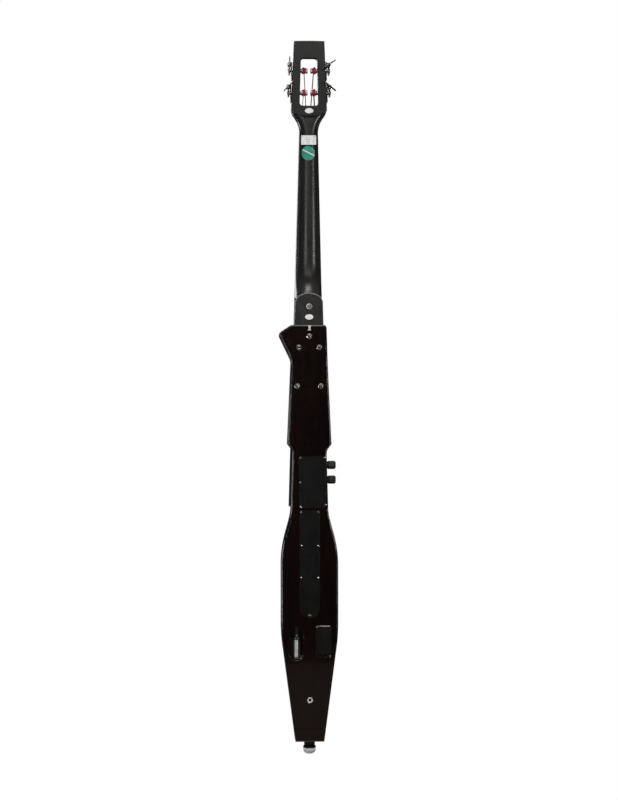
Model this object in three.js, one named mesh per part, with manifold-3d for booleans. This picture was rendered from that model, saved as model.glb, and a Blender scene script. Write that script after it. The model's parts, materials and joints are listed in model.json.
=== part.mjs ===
// A slim solid-body electric double bass, standing on its endpin.
// Millimetres. +Z is up, the strings are on the -Y side and the flat back on the +Y side.
// The origin is the middle of the foot's underside, on the axis of the endpin.
// +X is the thumb-stop (G string) side, -X the knob (E string) side.

import * as THREE from 'three';
import { mergeVertices } from 'three/addons/utils/BufferGeometryUtils.js';
import Module from 'manifold-3d';

const wasm = await Module();
wasm.setup();

// ---------- driving dimensions ----------

const GAP = 0.3; // clearance between pieces that touch
const BACK = 29; // y of the back of the body
const FRONT = -29; // y of the front of the body
const BODY_TOP = 966;
const BODY_BOTTOM = 30;
const END_BLOCK_TOP = 60;
const BODY_BEVEL = 3;

const SCALE_LENGTH = 1060; // nut to bridge
const NUT_Z = 1445;
const BRIDGE_Z = NUT_Z - SCALE_LENGTH;
const NECK_TILT = THREE.MathUtils.degToRad(4.8); // the neck leans back from the bridge
const GLUE_Y = -6; // y of the fingerboard's glue plane at the nut
const BOARD_END_Z = 553;
const NUT_HALF_WIDTH = 20.5;
const BOARD_END_HALF_WIDTH = 43.5;
const PLAYING_RADIUS = 80; // of the fingerboard, nut and bridge crowns
const HEEL_BACK = 14; // y of the flat face of the heel
const POCKET_BACK = 5; // y of the floor of the neck pocket
const TONGUE_BOTTOM = 806;
const HEEL_TOP = 1038;

const HEAD_THICKNESS = 32;
const HEAD_TOP = 160; // above the nut, along the neck
const HEAD_TOP_HALF_WIDTH = 34;
const HEAD_HALF_WIDTH = 40.2; // at the nut end
const POST_DEPTH = 15; // of the tuner posts behind the glue plane
const LOWER_POST = 45;
const UPPER_POST = 94;

const GEAR_TEETH = 20;
const GEAR_PITCH_RADIUS = 9.5;
const WORM_LEAD = (2 * Math.PI * GEAR_PITCH_RADIUS) / GEAR_TEETH;
const WORM_OFFSET = 13.2; // from post axis to worm axis

const ROD_RADIUS = 5; // endpin rod
const ROD_TOP = 365;
const CLAMP_Z = 45;
const CLAMP_RADIUS = 3;
const SOCKET_TUBE = 8;
const SOCKET_TOP = 75;
const KNOB_Y = 11;
const KNOB_Z = { volume: 651, tone: 618 };
const JACK = { x: 29.7, low: 213, high: 287, axisY: 17, bore: 8.3 };
const JUNCTION_Z = 345; // where the wires of the jack and the battery meet the channel
const WIRE_BORE = 3;
const BATTERY = { x: -31, low: 219, high: 292 };
const INSERT_Z = 124;
const TAIL_TOP = 245;
const TAIL_BOTTOM = 98;
const ANCHOR_Z = 68;
const STRING_AT_BRIDGE_Y = -124;

// name, radius, x at the nut, x at the bridge, row of its tuner post
const STRINGS = [
  { name: 'e', radius: 1.4, nutX: -15, bridgeX: -39, post: LOWER_POST },
  { name: 'a', radius: 1.15, nutX: -5, bridgeX: -13, post: UPPER_POST },
  { name: 'd', radius: 0.9, nutX: 5, bridgeX: 13, post: UPPER_POST },
  { name: 'g', radius: 0.7, nutX: 15, bridgeX: 39, post: LOWER_POST },
];

// x, z of the bolts that hold the tongue of the neck in its pocket
const HEEL_BOLT_Z = 1008;
const NECK_BOLTS = [[0, 940], [24, 915], [-22, 915], [27, 828], [-26, 828]];

// ---------- materials ----------

function finish(color, roughness, metalness = 0) {
  return new THREE.MeshStandardMaterial({ color, roughness, metalness });
}

const LACQUER = finish(0x1b0906, 0.2);
const SATIN_BLACK = finish(0x2b2825, 0.45);
const EBONY = finish(0x171412, 0.4);
const MAPLE = finish(0xc79a63, 0.55);
const BONE = finish(0xe6dfca, 0.4);
const BLACK_PLASTIC = finish(0x141312, 0.6);
const CHROME = finish(0xd9d9d6, 0.12, 1);
const STEEL = finish(0x9c9a96, 0.35, 1);
const DARK_METAL = finish(0x3a3531, 0.35, 0.8);
const BRASS = finish(0xb58d3c, 0.35, 1);
const RED_SILK = finish(0xa5101f, 0.8);
const BOARD_GREEN = finish(0x1d5a35, 0.6);
const CABLE_BLACK = finish(0x101010, 0.55);

// ---------- solids ----------

// A manifold solid from any closed geometry, with its faces turned outwards.
function solid(geometry) {
  const bare = geometry.index ? geometry.toNonIndexed() : geometry.clone();
  ['normal', 'uv'].forEach((name) => bare.deleteAttribute(name));
  const merged = mergeVertices(bare, 1e-4);
  const index = merged.index.array;
  const corners = [];
  for (let i = 0; i < index.length; i += 3) {
    const [a, b, c] = [index[i], index[i + 1], index[i + 2]];
    if (a !== b && b !== c && c !== a) corners.push(a, b, c);
  }
  const make = (triangles) => new wasm.Manifold(new wasm.Mesh({
    numProp: 3,
    vertProperties: Float32Array.from(merged.attributes.position.array),
    triVerts: Uint32Array.from(triangles),
  }));
  const made = make(corners);
  return made.volume() > 0 ? made : make(corners.reverse());
}

const join = (first, ...rest) => rest.reduce((sum, piece) => sum.add(piece), first);
const cut = (first, ...rest) => rest.reduce((left, piece) => left.subtract(piece), first);

function geometryOf(manifold) {
  const { vertProperties, triVerts } = manifold.getMesh();
  const geometry = new THREE.BufferGeometry();
  geometry.setAttribute('position', new THREE.BufferAttribute(new Float32Array(vertProperties), 3));
  geometry.setIndex(new THREE.BufferAttribute(new Uint32Array(triVerts), 1));
  return geometry;
}

const outline = (points) => new THREE.Shape(points.map(([x, y]) => new THREE.Vector2(x, y)));

function extruded(shape, depth, options = {}) {
  return new THREE.ExtrudeGeometry(shape, { depth, bevelEnabled: false, curveSegments: 5, ...options });
}

// Prisms whose outline is drawn in XZ, YZ or XY, between two planes.
function prismY(shape, low, high, options) {
  return solid(extruded(shape, high - low, options).rotateX(Math.PI / 2).translate(0, high, 0));
}

function prismX(shape, low, high) {
  const turn = new THREE.Matrix4().makeBasis(
    new THREE.Vector3(0, 1, 0), new THREE.Vector3(0, 0, 1), new THREE.Vector3(1, 0, 0));
  return solid(extruded(shape, high - low).applyMatrix4(turn).translate(low, 0, 0));
}

const prismZ = (shape, low, high) => solid(extruded(shape, high - low).translate(0, 0, low));

function box(x0, x1, y0, y1, z0, z1) {
  return solid(new THREE.BoxGeometry(x1 - x0, y1 - y0, z1 - z0)
    .translate((x0 + x1) / 2, (y0 + y1) / 2, (z0 + z1) / 2));
}

// A turned piece: profile points are [radius, height along the axis].
function turned(profile, axis, at = [0, 0, 0], segments = 16) {
  const points = profile.map(([r, h]) => new THREE.Vector2(r, h));
  const geometry = new THREE.LatheGeometry(points, segments);
  if (axis === 'x') geometry.rotateZ(-Math.PI / 2);
  if (axis === 'z') geometry.rotateX(Math.PI / 2);
  return solid(geometry.translate(...at));
}

const cylinder = (radius, low, high, axis, at, segments = 16) => turned(
  [[0, low], [radius, low], [radius, high], [0, high]], axis, at, segments);

// A closed skin over a row of rings that all have the same number of points.
function loft(rings) {
  const count = rings[0].length;
  const triangles = [];
  const face = (...corners) => triangles.push(...corners.flat());
  for (let i = 0; i + 1 < rings.length; i++) {
    for (let j = 0; j < count; j++) {
      const k = (j + 1) % count;
      face(rings[i][j], rings[i][k], rings[i + 1][k]);
      face(rings[i][j], rings[i + 1][k], rings[i + 1][j]);
    }
  }
  const [first, last] = [rings[0], rings[rings.length - 1]];
  for (let j = 1; j + 1 < count; j++) {
    face(first[0], first[j + 1], first[j]);
    face(last[0], last[j], last[j + 1]);
  }
  const geometry = new THREE.BufferGeometry();
  geometry.setAttribute('position', new THREE.Float32BufferAttribute(triangles, 3));
  return solid(geometry);
}

// A round cord, wire or string along a row of points.
function cord(points, radius, sides = 8) {
  const path = points.map((p) => new THREE.Vector3(...p));
  const rings = path.map((point, i) => {
    const ahead = path[Math.min(i + 1, path.length - 1)];
    const behind = path[Math.max(i - 1, 0)];
    const along = ahead.clone().sub(behind).normalize();
    const across = new THREE.Vector3(1, 0.013, 0.007).cross(along).normalize();
    const up = along.clone().cross(across);
    return Array.from({ length: sides }, (_, j) => {
      const angle = (2 * Math.PI * j) / sides;
      return point.clone()
        .addScaledVector(across, radius * Math.cos(angle))
        .addScaledVector(up, radius * Math.sin(angle)).toArray();
    });
  });
  return loft(rings);
}

// ---------- the neck's own frame ----------
// x as in the world, depth towards the back, rise along the neck from the nut.

const NECK_FRAME = new THREE.Matrix4()
  .makeTranslation(0, GLUE_Y, NUT_Z)
  .multiply(new THREE.Matrix4().makeRotationX(-NECK_TILT));
const onNeck = (x, depth, rise) => new THREE.Vector3(x, depth, rise).applyMatrix4(NECK_FRAME).toArray();
const riseAt = (z) => (z - NUT_Z) / Math.cos(NECK_TILT);
const sag = (x) => PLAYING_RADIUS - Math.sqrt(PLAYING_RADIUS ** 2 - x ** 2);

function boardHalfWidth(rise) {
  const share = rise / riseAt(BOARD_END_Z);
  return THREE.MathUtils.lerp(NUT_HALF_WIDTH, BOARD_END_HALF_WIDTH, share);
}

function headHalfWidth(rise) {
  return THREE.MathUtils.lerp(HEAD_HALF_WIDTH, HEAD_TOP_HALF_WIDTH, (rise - 5) / (HEAD_TOP - 5));
}

const bass = new THREE.Group();
const neckGroup = new THREE.Group();
neckGroup.applyMatrix4(NECK_FRAME);
bass.add(neckGroup);

function add(name, manifold, material, group = bass) {
  const mesh = new THREE.Mesh(geometryOf(manifold), material);
  mesh.name = name;
  group.add(mesh);
}

// ---------- body and end block ----------

// The right half of the outline from the bottom up; the left half mirrors it and adds the thumb stop.
function bodyOutline() {
  const shape = new THREE.Shape();
  shape.moveTo(-32.3, BODY_BOTTOM);
  shape.lineTo(32.3, BODY_BOTTOM);
  shape.lineTo(61.6, 252);
  shape.quadraticCurveTo(63.6, 268, 64, 300);
  shape.lineTo(64, 430);
  shape.bezierCurveTo(63, 490, 43, 520, 41.8, 553);
  shape.lineTo(38.4, 676);
  shape.quadraticCurveTo(38.5, 684, 42.5, 689);
  shape.lineTo(49.4, 698);
  shape.lineTo(41.3, 878);
  shape.quadraticCurveTo(41, 886, 44.5, 893);
  shape.lineTo(66.5, 939);
  shape.quadraticCurveTo(70, 948, 62, 952.5);
  shape.lineTo(41, BODY_TOP);
  shape.lineTo(-35, BODY_TOP);
  shape.quadraticCurveTo(-38.5, BODY_TOP - 0.5, -38.8, BODY_TOP - 8);
  shape.lineTo(-41.1, 880);
  shape.lineTo(-49.4, 698);
  shape.lineTo(-42.5, 689);
  shape.quadraticCurveTo(-38.5, 684, -38.4, 676);
  shape.lineTo(-41.8, 553);
  shape.bezierCurveTo(-43, 520, -63, 490, -64, 430);
  shape.lineTo(-64, 300);
  shape.quadraticCurveTo(-63.6, 268, -61.6, 252);
  shape.lineTo(-32.3, BODY_BOTTOM);
  return shape;
}

// An upright slot with round ends, drawn in XZ.
function slotOutline(x, halfWidth, low, high) {
  const shape = new THREE.Shape();
  shape.absarc(x, high - halfWidth, halfWidth, 0, Math.PI);
  shape.absarc(x, low + halfWidth, halfWidth, Math.PI, 2 * Math.PI);
  return shape;
}

// The tongue's outline in XZ, grown by a margin for the pocket.
function tongueOutline(margin, top) {
  const half = (z) => boardHalfWidth(riseAt(z)) - 0.5 + margin;
  const low = TONGUE_BOTTOM - margin;
  return outline([[-half(low), low], [half(low), low], [half(top), top], [-half(top), top]]);
}

const CONTROL_CAVITY = { left: 21, right: -34.5, low: 560, high: 665, floor: -3 };
const CHANNEL = { half: 17, low: 322, high: 545, floor: 11 };
const JACK_FLOOR = 8;
const BATTERY_CASE = { half: 16, low: 223, high: 288, floor: 5 };
const FERRULE_DEPTH = 2.2;
const COVER_REBATE = 1.5;
const KEY = { half: 4, waist: 2, low: 953.5, high: 965, depth: 6 };

function heelKeyOutline(margin) {
  const middle = (KEY.low + KEY.high) / 2;
  const [half, waist] = [KEY.half + margin, KEY.waist + margin];
  const [low, high] = [KEY.low - margin, KEY.high + margin];
  return outline([[-half, low], [half, low], [waist, middle], [half, high], [-half, high], [-waist, middle]]);
}

// The cover's knob side is flush with the side of the body; its rebate runs out past that side.
function controlCoverOutline(margin, past = 0) {
  return outline([[-37.8 - past, 671 + margin], [24.5 + margin, 671 + margin], [24.5 + margin, 554 - margin],
    [-34 - past, 554 - margin], [-40.6 - past, 564 - margin]].reverse());
}

function channelCoverOutline(margin) {
  const half = 22.8 + margin;
  const shape = new THREE.Shape();
  shape.moveTo(half, 549.5 + margin);
  shape.lineTo(-half, 549.5 + margin);
  shape.lineTo(-half, 308 + 22.8);
  shape.absarc(0, 308 + 22.8, half, Math.PI, 2 * Math.PI);
  return shape;
}

function wholeBody() {
  const rounded = { bevelEnabled: true, bevelThickness: BODY_BEVEL, bevelSize: BODY_BEVEL,
    bevelOffset: -BODY_BEVEL, bevelSegments: 1, curveSegments: 5 };
  const blank = prismY(bodyOutline(), FRONT + BODY_BEVEL, BACK - BODY_BEVEL, rounded);
  const past = BACK + 5;
  const { left, right, low, high, floor } = CONTROL_CAVITY;
  const cavities = [
    prismY(tongueOutline(GAP, BODY_TOP + 10), FRONT - 5, POCKET_BACK + GAP),
    prismY(heelKeyOutline(GAP), BACK - KEY.depth - GAP, past),
    box(right, left, floor, past, low, high),
    prismY(slotOutline(0, CHANNEL.half, CHANNEL.low, CHANNEL.high), CHANNEL.floor, past),
    cylinder(5, CHANNEL.high - 10, low + 5, 'z', [0, 20, 0], 12),
    prismY(controlCoverOutline(GAP, 10), BACK - COVER_REBATE, past),
    prismY(channelCoverOutline(GAP), BACK - COVER_REBATE, past),
    prismY(slotOutline(JACK.x, 15.3, JACK.low, JACK.high), JACK_FLOOR, past),
    cylinder(JACK.bore, JACK.high - 10, JACK.high + 29, 'z', [JACK.x, JACK.axisY, 0]),
    cylinder(WIRE_BORE, JACK.high, JUNCTION_Z + WIRE_BORE, 'z', [JACK.x, JACK.axisY, 0], 10),
    cylinder(WIRE_BORE, 12, JACK.x + WIRE_BORE, 'x', [0, JACK.axisY, JUNCTION_Z], 10),
    box(BATTERY.x - BATTERY_CASE.half - GAP, BATTERY.x + BATTERY_CASE.half + GAP,
      BATTERY_CASE.floor - GAP, past, BATTERY_CASE.low - GAP, BATTERY_CASE.high + GAP),
    cylinder(WIRE_BORE, BATTERY_CASE.high - 4, JUNCTION_Z, 'z', [-16, 19, 0], 10),
    cylinder(ROD_RADIUS + 0.7, BODY_BOTTOM - 5, ROD_TOP + 7, 'z', [0, 0, 0]),
    cylinder(SOCKET_TUBE + GAP, BODY_BOTTOM - 5, SOCKET_TOP + GAP, 'z', [0, 0, 0]),
    cylinder(CLAMP_RADIUS + GAP, FRONT - 5, -SOCKET_TUBE + 1, 'y', [0, 0, CLAMP_Z], 12),
    cylinder(4.8 + GAP, BACK - 14, past, 'y', [0, 0, INSERT_Z]),
    cylinder(2.5, FRONT - 5, CHANNEL.floor + 3, 'y', [-12, 0, BRIDGE_Z - 20], 10),
    cylinder(3 + GAP, FRONT - 5, FRONT + 14, 'y', [0, 0, ANCHOR_Z], 12),
  ];
  Object.values(KNOB_Z).forEach((z) => cavities.push(cylinder(4, -60, right + 2, 'x', [0, KNOB_Y, z], 14)));
  NECK_BOLTS.forEach(([x, z]) => cavities.push(
    cylinder(3, 0, past, 'y', [x, 0, z], 12),
    cylinder(6.5 + GAP, BACK - FERRULE_DEPTH - GAP, past, 'y', [x, 0, z])));
  return cut(blank, ...cavities);
}

const seam = (low, high) => box(-100, 100, FRONT - 20, BACK + 20, low, high);
const body = wholeBody();
add('body', body.intersect(seam(END_BLOCK_TOP + GAP / 2, BODY_TOP + 1)), LACQUER);
add('end_block', body.intersect(seam(BODY_BOTTOM - 1, END_BLOCK_TOP - GAP / 2)), LACQUER);
add('heel_key', prismY(heelKeyOutline(0), BACK - KEY.depth, BACK + 0.4), CHROME);

// ---------- neck, fingerboard, nut and truss rod ----------

const HEAD_FRONT = -1;
const HEEL_HALF_WIDTH = 31;
const ROD_GROOVE = { half: 3.4, depth: 8, top: -14, bottom: -560 };
const SLOT = { low: 16, high: 121.5, halfLow: 21.3, halfHigh: 18.6, corner: 8 };

// Depth of the neck behind the glue plane: a slow taper, then the sweep out to the heel.
const NECK_DEPTHS = [[8, 15], [-20, 16.6], [-60, 17.2], [-200, 20], [-335, 23.2], [-360, 25.5], [-376, 30],
  [-388, 36.5], [-398, 44], [-406, 51.5], [-416, 54]];

function neckSection(rise, depth) {
  const half = boardHalfWidth(rise);
  const steps = 12;
  return Array.from({ length: steps + 1 }, (_, i) => {
    const angle = (Math.PI * i) / steps;
    const across = Math.sign(Math.cos(angle)) * Math.abs(Math.cos(angle)) ** 0.8;
    return onNeck(half * across, depth * Math.sin(angle) ** 0.85, rise);
  });
}

function roundedQuad(corners, radius) {
  const shape = new THREE.Shape();
  corners.forEach(([x, y], i) => {
    const here = new THREE.Vector2(x, y);
    const towards = (other) => new THREE.Vector2(...other).sub(here).setLength(radius).add(here);
    const enter = towards(corners[(i + 3) % 4]);
    const leave = towards(corners[(i + 1) % 4]);
    if (i === 0) shape.moveTo(enter.x, enter.y);
    else shape.lineTo(enter.x, enter.y);
    shape.quadraticCurveTo(x, y, leave.x, leave.y);
  });
  return shape;
}

function headBlockOutline() {
  const shape = new THREE.Shape();
  shape.moveTo(-HEAD_HALF_WIDTH, 5);
  shape.quadraticCurveTo(-36, -3, -20, -6);
  shape.quadraticCurveTo(0, -8.5, 20, -6);
  shape.quadraticCurveTo(36, -3, HEAD_HALF_WIDTH, 5);
  shape.lineTo(HEAD_TOP_HALF_WIDTH, HEAD_TOP - 2);
  shape.quadraticCurveTo(0, HEAD_TOP + 2.5, -HEAD_TOP_HALF_WIDTH, HEAD_TOP - 2);
  return shape;
}

function headShoulderOutline() {
  const shape = new THREE.Shape();
  const end = riseAt(1403);
  const half = boardHalfWidth(end);
  shape.moveTo(-half, end);
  shape.lineTo(half, end);
  shape.bezierCurveTo(24, -13, 40, -8, HEAD_HALF_WIDTH, 4);
  shape.lineTo(HEAD_HALF_WIDTH - 0.5, 12);
  shape.lineTo(-HEAD_HALF_WIDTH + 0.5, 12);
  shape.lineTo(-HEAD_HALF_WIDTH, 4);
  shape.bezierCurveTo(-40, -8, -24, -13, -half, end);
  return shape;
}

function heelOutline() {
  const side = HEEL_TOP - 20;
  const low = TONGUE_BOTTOM;
  const half = (z) => boardHalfWidth(riseAt(z)) - 0.5;
  const shape = new THREE.Shape();
  shape.moveTo(-half(low), low);
  shape.lineTo(half(low), low);
  shape.lineTo(HEEL_HALF_WIDTH, side);
  shape.bezierCurveTo(HEEL_HALF_WIDTH - 2, HEEL_TOP - 5, 14, HEEL_TOP, 0, HEEL_TOP);
  shape.bezierCurveTo(-14, HEEL_TOP, -HEEL_HALF_WIDTH + 2, HEEL_TOP - 5, -HEEL_HALF_WIDTH, side);
  return shape;
}

// The heel's outline in YZ: glue plane in front, pocket floor and heel face behind.
function heelProfile() {
  const glue = (z) => onNeck(0, 0, riseAt(z))[1];
  const step = BODY_TOP + 0.5;
  return outline([[glue(HEEL_TOP) - 0.2, HEEL_TOP], [glue(TONGUE_BOTTOM), TONGUE_BOTTOM],
    [POCKET_BACK, TONGUE_BOTTOM], [POCKET_BACK, step], [HEEL_BACK, step], [HEEL_BACK, HEEL_TOP]]);
}

function makeNeck() {
  const shaft = loft(NECK_DEPTHS.map(([rise, depth]) => neckSection(rise, depth)));
  const slotCorners = [[-SLOT.halfLow, SLOT.low], [SLOT.halfLow, SLOT.low],
    [SLOT.halfHigh, SLOT.high], [-SLOT.halfHigh, SLOT.high]];
  const tilted = (piece) => piece.transform(NECK_FRAME.elements);
  const head = join(prismY(headBlockOutline(), HEAD_FRONT, HEAD_THICKNESS),
    prismY(headShoulderOutline(), HEAD_FRONT + 1, 15));
  const heel = prismY(heelOutline(), -90, HEEL_BACK).intersect(prismX(heelProfile(), -40, 40));
  const holes = [LOWER_POST, UPPER_POST].map((rise) => cylinder(5, -60, 60, 'x', [0, POST_DEPTH, rise], 16));
  const neckCuts = [prismY(roundedQuad(slotCorners, SLOT.corner), -20, 60), ...holes,
    box(-ROD_GROOVE.half, ROD_GROOVE.half, -2, ROD_GROOVE.depth, ROD_GROOVE.bottom, ROD_GROOVE.top),
    box(-60, 60, -60, 0, riseAt(TONGUE_BOTTOM) - 20, 0)].map(tilted);
  const boltHoles = NECK_BOLTS.map(([x, z]) => cylinder(
    2.4, POCKET_BACK - 20, POCKET_BACK + 5, 'y', [x, 0, z], 10));
  const heelBolt = [cylinder(3, HEEL_BACK - 30, HEEL_BACK + 5, 'y', [0, 0, HEEL_BOLT_Z], 12),
    cylinder(7 + GAP, HEEL_BACK - FERRULE_DEPTH, HEEL_BACK + 20, 'y', [0, 0, HEEL_BOLT_Z])];
  return cut(join(shaft, tilted(head), heel), ...neckCuts, ...boltHoles, ...heelBolt);
}
add('neck', makeNeck(), SATIN_BLACK);

const NUT_LENGTH = 6;
const BOARD_EDGE = { nut: 6.5, end: 5.5 };
const NUT_LIFT = 1.4; // of the nut's crown over the fingerboard

function boardSection(rise) {
  const half = boardHalfWidth(rise);
  const edge = THREE.MathUtils.mapLinear(rise, 0, riseAt(BOARD_END_Z), BOARD_EDGE.nut, BOARD_EDGE.end);
  const steps = 10;
  const crown = Array.from({ length: steps + 1 }, (_, i) => {
    const x = half * (1 - (2 * i) / steps);
    return onNeck(x, -(edge + sag(half) - sag(x)), rise);
  });
  return [onNeck(-half, -GAP, rise), onNeck(half, -GAP, rise), ...crown];
}

const nutCrown = (x) => -(BOARD_EDGE.nut + sag(NUT_HALF_WIDTH) + NUT_LIFT) + sag(x);
const bridgeCrown = (x) => STRING_AT_BRIDGE_Y + 1.7 + sag(x);

// Outline in XY whose -Y edge follows a crown between two sides.
function crownedOutline(half, crown, base) {
  const steps = 12;
  const points = Array.from({ length: steps + 1 }, (_, i) => {
    const x = half * (1 - (2 * i) / steps);
    return [x, crown(x)];
  });
  return outline([...base, ...points].reverse());
}

add('fingerboard', loft([boardSection(-GAP), boardSection(riseAt(BOARD_END_Z))]), EBONY);
const nutBase = HEAD_FRONT - GAP;
add('nut', prismZ(crownedOutline(NUT_HALF_WIDTH, nutCrown, [[-NUT_HALF_WIDTH, nutBase],
  [NUT_HALF_WIDTH, nutBase]]), GAP, NUT_LENGTH), BONE, neckGroup);
add('truss_rod', cylinder(3, ROD_GROOVE.bottom + 1, ROD_GROOVE.top - 1, 'z', [0, 4.4, 0], 12),
  STEEL, neckGroup);

// ---------- bridge, pickups, tailpiece and strings ----------

const PICKUP_THICKNESS = 2.2;
const BRIDGE_FOOT_Y = FRONT - PICKUP_THICKNESS - 2 * GAP;
const BRIDGE_HALF_THICKNESS = { foot: 10, crown: 2.2 };

function bridgeOutline() {
  const shape = new THREE.Shape();
  const foot = BRIDGE_FOOT_Y;
  shape.moveTo(34, foot);
  shape.lineTo(58, foot);
  shape.lineTo(58, foot - 4);
  shape.bezierCurveTo(48, foot - 8, 50, foot - 24, 36, foot - 30);
  shape.bezierCurveTo(31, foot - 34, 34, foot - 44, 42, foot - 52);
  shape.bezierCurveTo(47, foot - 58, 47, foot - 66, 46, bridgeCrown(46));
  for (let x = 38; x > -46; x -= 8) shape.lineTo(x, bridgeCrown(x));
  shape.lineTo(-46, bridgeCrown(46));
  shape.bezierCurveTo(-47, foot - 66, -47, foot - 58, -42, foot - 52);
  shape.bezierCurveTo(-34, foot - 44, -31, foot - 34, -36, foot - 30);
  shape.bezierCurveTo(-50, foot - 24, -48, foot - 8, -58, foot - 4);
  shape.lineTo(-58, foot);
  shape.lineTo(-34, foot);
  shape.bezierCurveTo(-30, foot - 18, -16, foot - 24, 0, foot - 24);
  shape.bezierCurveTo(16, foot - 24, 30, foot - 18, 34, foot);
  return shape;
}

// The heart and the two eyes, as x, height above the feet, half width, half height.
const BRIDGE_EYES = [[0, 48, 6, 10], [-25, 60, 8, 5], [25, 60, 8, 5]];

function makeBridge() {
  const { foot, crown } = BRIDGE_HALF_THICKNESS;
  const taper = outline([[BRIDGE_FOOT_Y + 1, BRIDGE_Z - foot], [BRIDGE_FOOT_Y + 1, BRIDGE_Z + foot],
    [STRING_AT_BRIDGE_Y, BRIDGE_Z + crown], [STRING_AT_BRIDGE_Y, BRIDGE_Z - crown]]);
  const eyes = BRIDGE_EYES.map(([x, height, halfWidth, halfHeight]) => solid(
    new THREE.CylinderGeometry(1, 1, 60, 14).rotateX(Math.PI / 2).scale(halfWidth, halfHeight, 1)
      .translate(x, BRIDGE_FOOT_Y - height, BRIDGE_Z)));
  const blank = prismZ(bridgeOutline(), BRIDGE_Z - foot, BRIDGE_Z + foot);
  return cut(blank.intersect(prismX(taper, -70, 70)), ...eyes);
}

add('bridge', makeBridge(), MAPLE);
for (const [name, x] of [['pickup_bass_foot', -46], ['pickup_treble_foot', 46]]) {
  const face = FRONT - GAP;
  add(name, box(x - 11, x + 11, face - PICKUP_THICKNESS, face, BRIDGE_Z - 9, BRIDGE_Z + 9), BRASS);
}
add('pickup_lead', cord([[-36, -30.6, 373.5], [-32, -30.6, 369], [-24, -30.6, 365.8], [-15, -31, 365.2],
  [-12.2, -29.5, 365], [-12, -24, 365], [-12, 0, 365], [-12, 14, 365]], 1), CABLE_BLACK);

const TAIL_TOP_Y = -80;
const TAIL_BOTTOM_Y = -43.5;
const TAIL_TILT = Math.atan2(TAIL_BOTTOM_Y - TAIL_TOP_Y, TAIL_TOP - TAIL_BOTTOM);
const TAIL_LENGTH = Math.hypot(TAIL_BOTTOM_Y - TAIL_TOP_Y, TAIL_TOP - TAIL_BOTTOM);
const TAIL_HALF_THICKNESS = 5;
const TAIL_SPACING = 18;
const TAIL_FRAME = new THREE.Matrix4()
  .makeTranslation(0, TAIL_TOP_Y, TAIL_TOP)
  .multiply(new THREE.Matrix4().makeRotationX(TAIL_TILT));
const onTail = (x, y, z) => new THREE.Vector3(x, y, z).applyMatrix4(TAIL_FRAME).toArray();
const tailGroup = new THREE.Group();
tailGroup.applyMatrix4(TAIL_FRAME);
bass.add(tailGroup);
const tailX = (index) => (index - 1.5) * TAIL_SPACING;

function makeTailpiece() {
  const shape = new THREE.Shape();
  shape.moveTo(-16, -TAIL_LENGTH);
  shape.lineTo(16, -TAIL_LENGTH);
  shape.bezierCurveTo(20, -TAIL_LENGTH + 50, 36, -60, 38, -6);
  shape.quadraticCurveTo(0, 4, -38, -6);
  shape.bezierCurveTo(-36, -60, -20, -TAIL_LENGTH + 50, -16, -TAIL_LENGTH);
  const half = TAIL_HALF_THICKNESS;
  const bevel = { bevelEnabled: true, bevelThickness: 2, bevelSize: 2, bevelOffset: -2, bevelSegments: 1 };
  const slots = STRINGS.map((_, i) => box(tailX(i) - 2.2, tailX(i) + 2.2, -9, 9, -16, 9));
  const cableHoles = [-9, 9].map((x) => cylinder(
    1.9, -TAIL_LENGTH - 9, -TAIL_LENGTH + 14, 'z', [x, 0, 0], 12));
  return cut(prismY(shape, 2 - half, half - 2, bevel), ...slots, ...cableHoles);
}

add('tailpiece', makeTailpiece(), EBONY, tailGroup);

const ANCHOR_RADIUS = 3;
const CABLE_RADIUS = 1.5;
const CABLE_Y = FRONT - 5;

function tailCableRoute() {
  const loop = ANCHOR_RADIUS + CABLE_RADIUS + GAP;
  const half = (side) => [onTail(9 * side, 0, -TAIL_LENGTH + 12), onTail(9 * side, 0, -TAIL_LENGTH - 1),
    [7 * side, CABLE_Y - 3, ANCHOR_Z + 14]];
  const around = Array.from({ length: 9 }, (_, i) => {
    const angle = Math.PI + (Math.PI * i) / 8;
    return [-loop * Math.cos(angle + Math.PI), CABLE_Y, ANCHOR_Z + loop * Math.sin(angle)];
  });
  return [...half(-1), ...around, ...half(1).reverse()];
}

add('tail_cable', cord(tailCableRoute(), CABLE_RADIUS), CABLE_BLACK);
add('tail_anchor', turned([[0, -FRONT - 12], [ANCHOR_RADIUS, -FRONT - 12], [ANCHOR_RADIUS, -FRONT + 7.2],
  [7, -FRONT + 7.6], [7, -FRONT + 9], [4.5, -FRONT + 10.2], [0, -FRONT + 10.4]]
  .map(([r, h]) => [r, -h]).reverse(), 'y', [0, 0, ANCHOR_Z]), BRASS);

const DRUM_RADIUS = 5.5;
const WINDING = 1.9; // thickness of the silk winding on a drum

// Where a string coming from the nut meets its winding, in the neck's depth and rise.
function windingPoint(radius, depth, rise, post) {
  const reach = Math.hypot(post - rise, POST_DEPTH - depth);
  const clear = DRUM_RADIUS + WINDING + radius;
  const heading = Math.atan2(POST_DEPTH - depth, post - rise) - Math.asin(clear / reach);
  const length = Math.sqrt(reach ** 2 - clear ** 2);
  return [depth + length * Math.sin(heading), rise + length * Math.cos(heading)];
}

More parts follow.
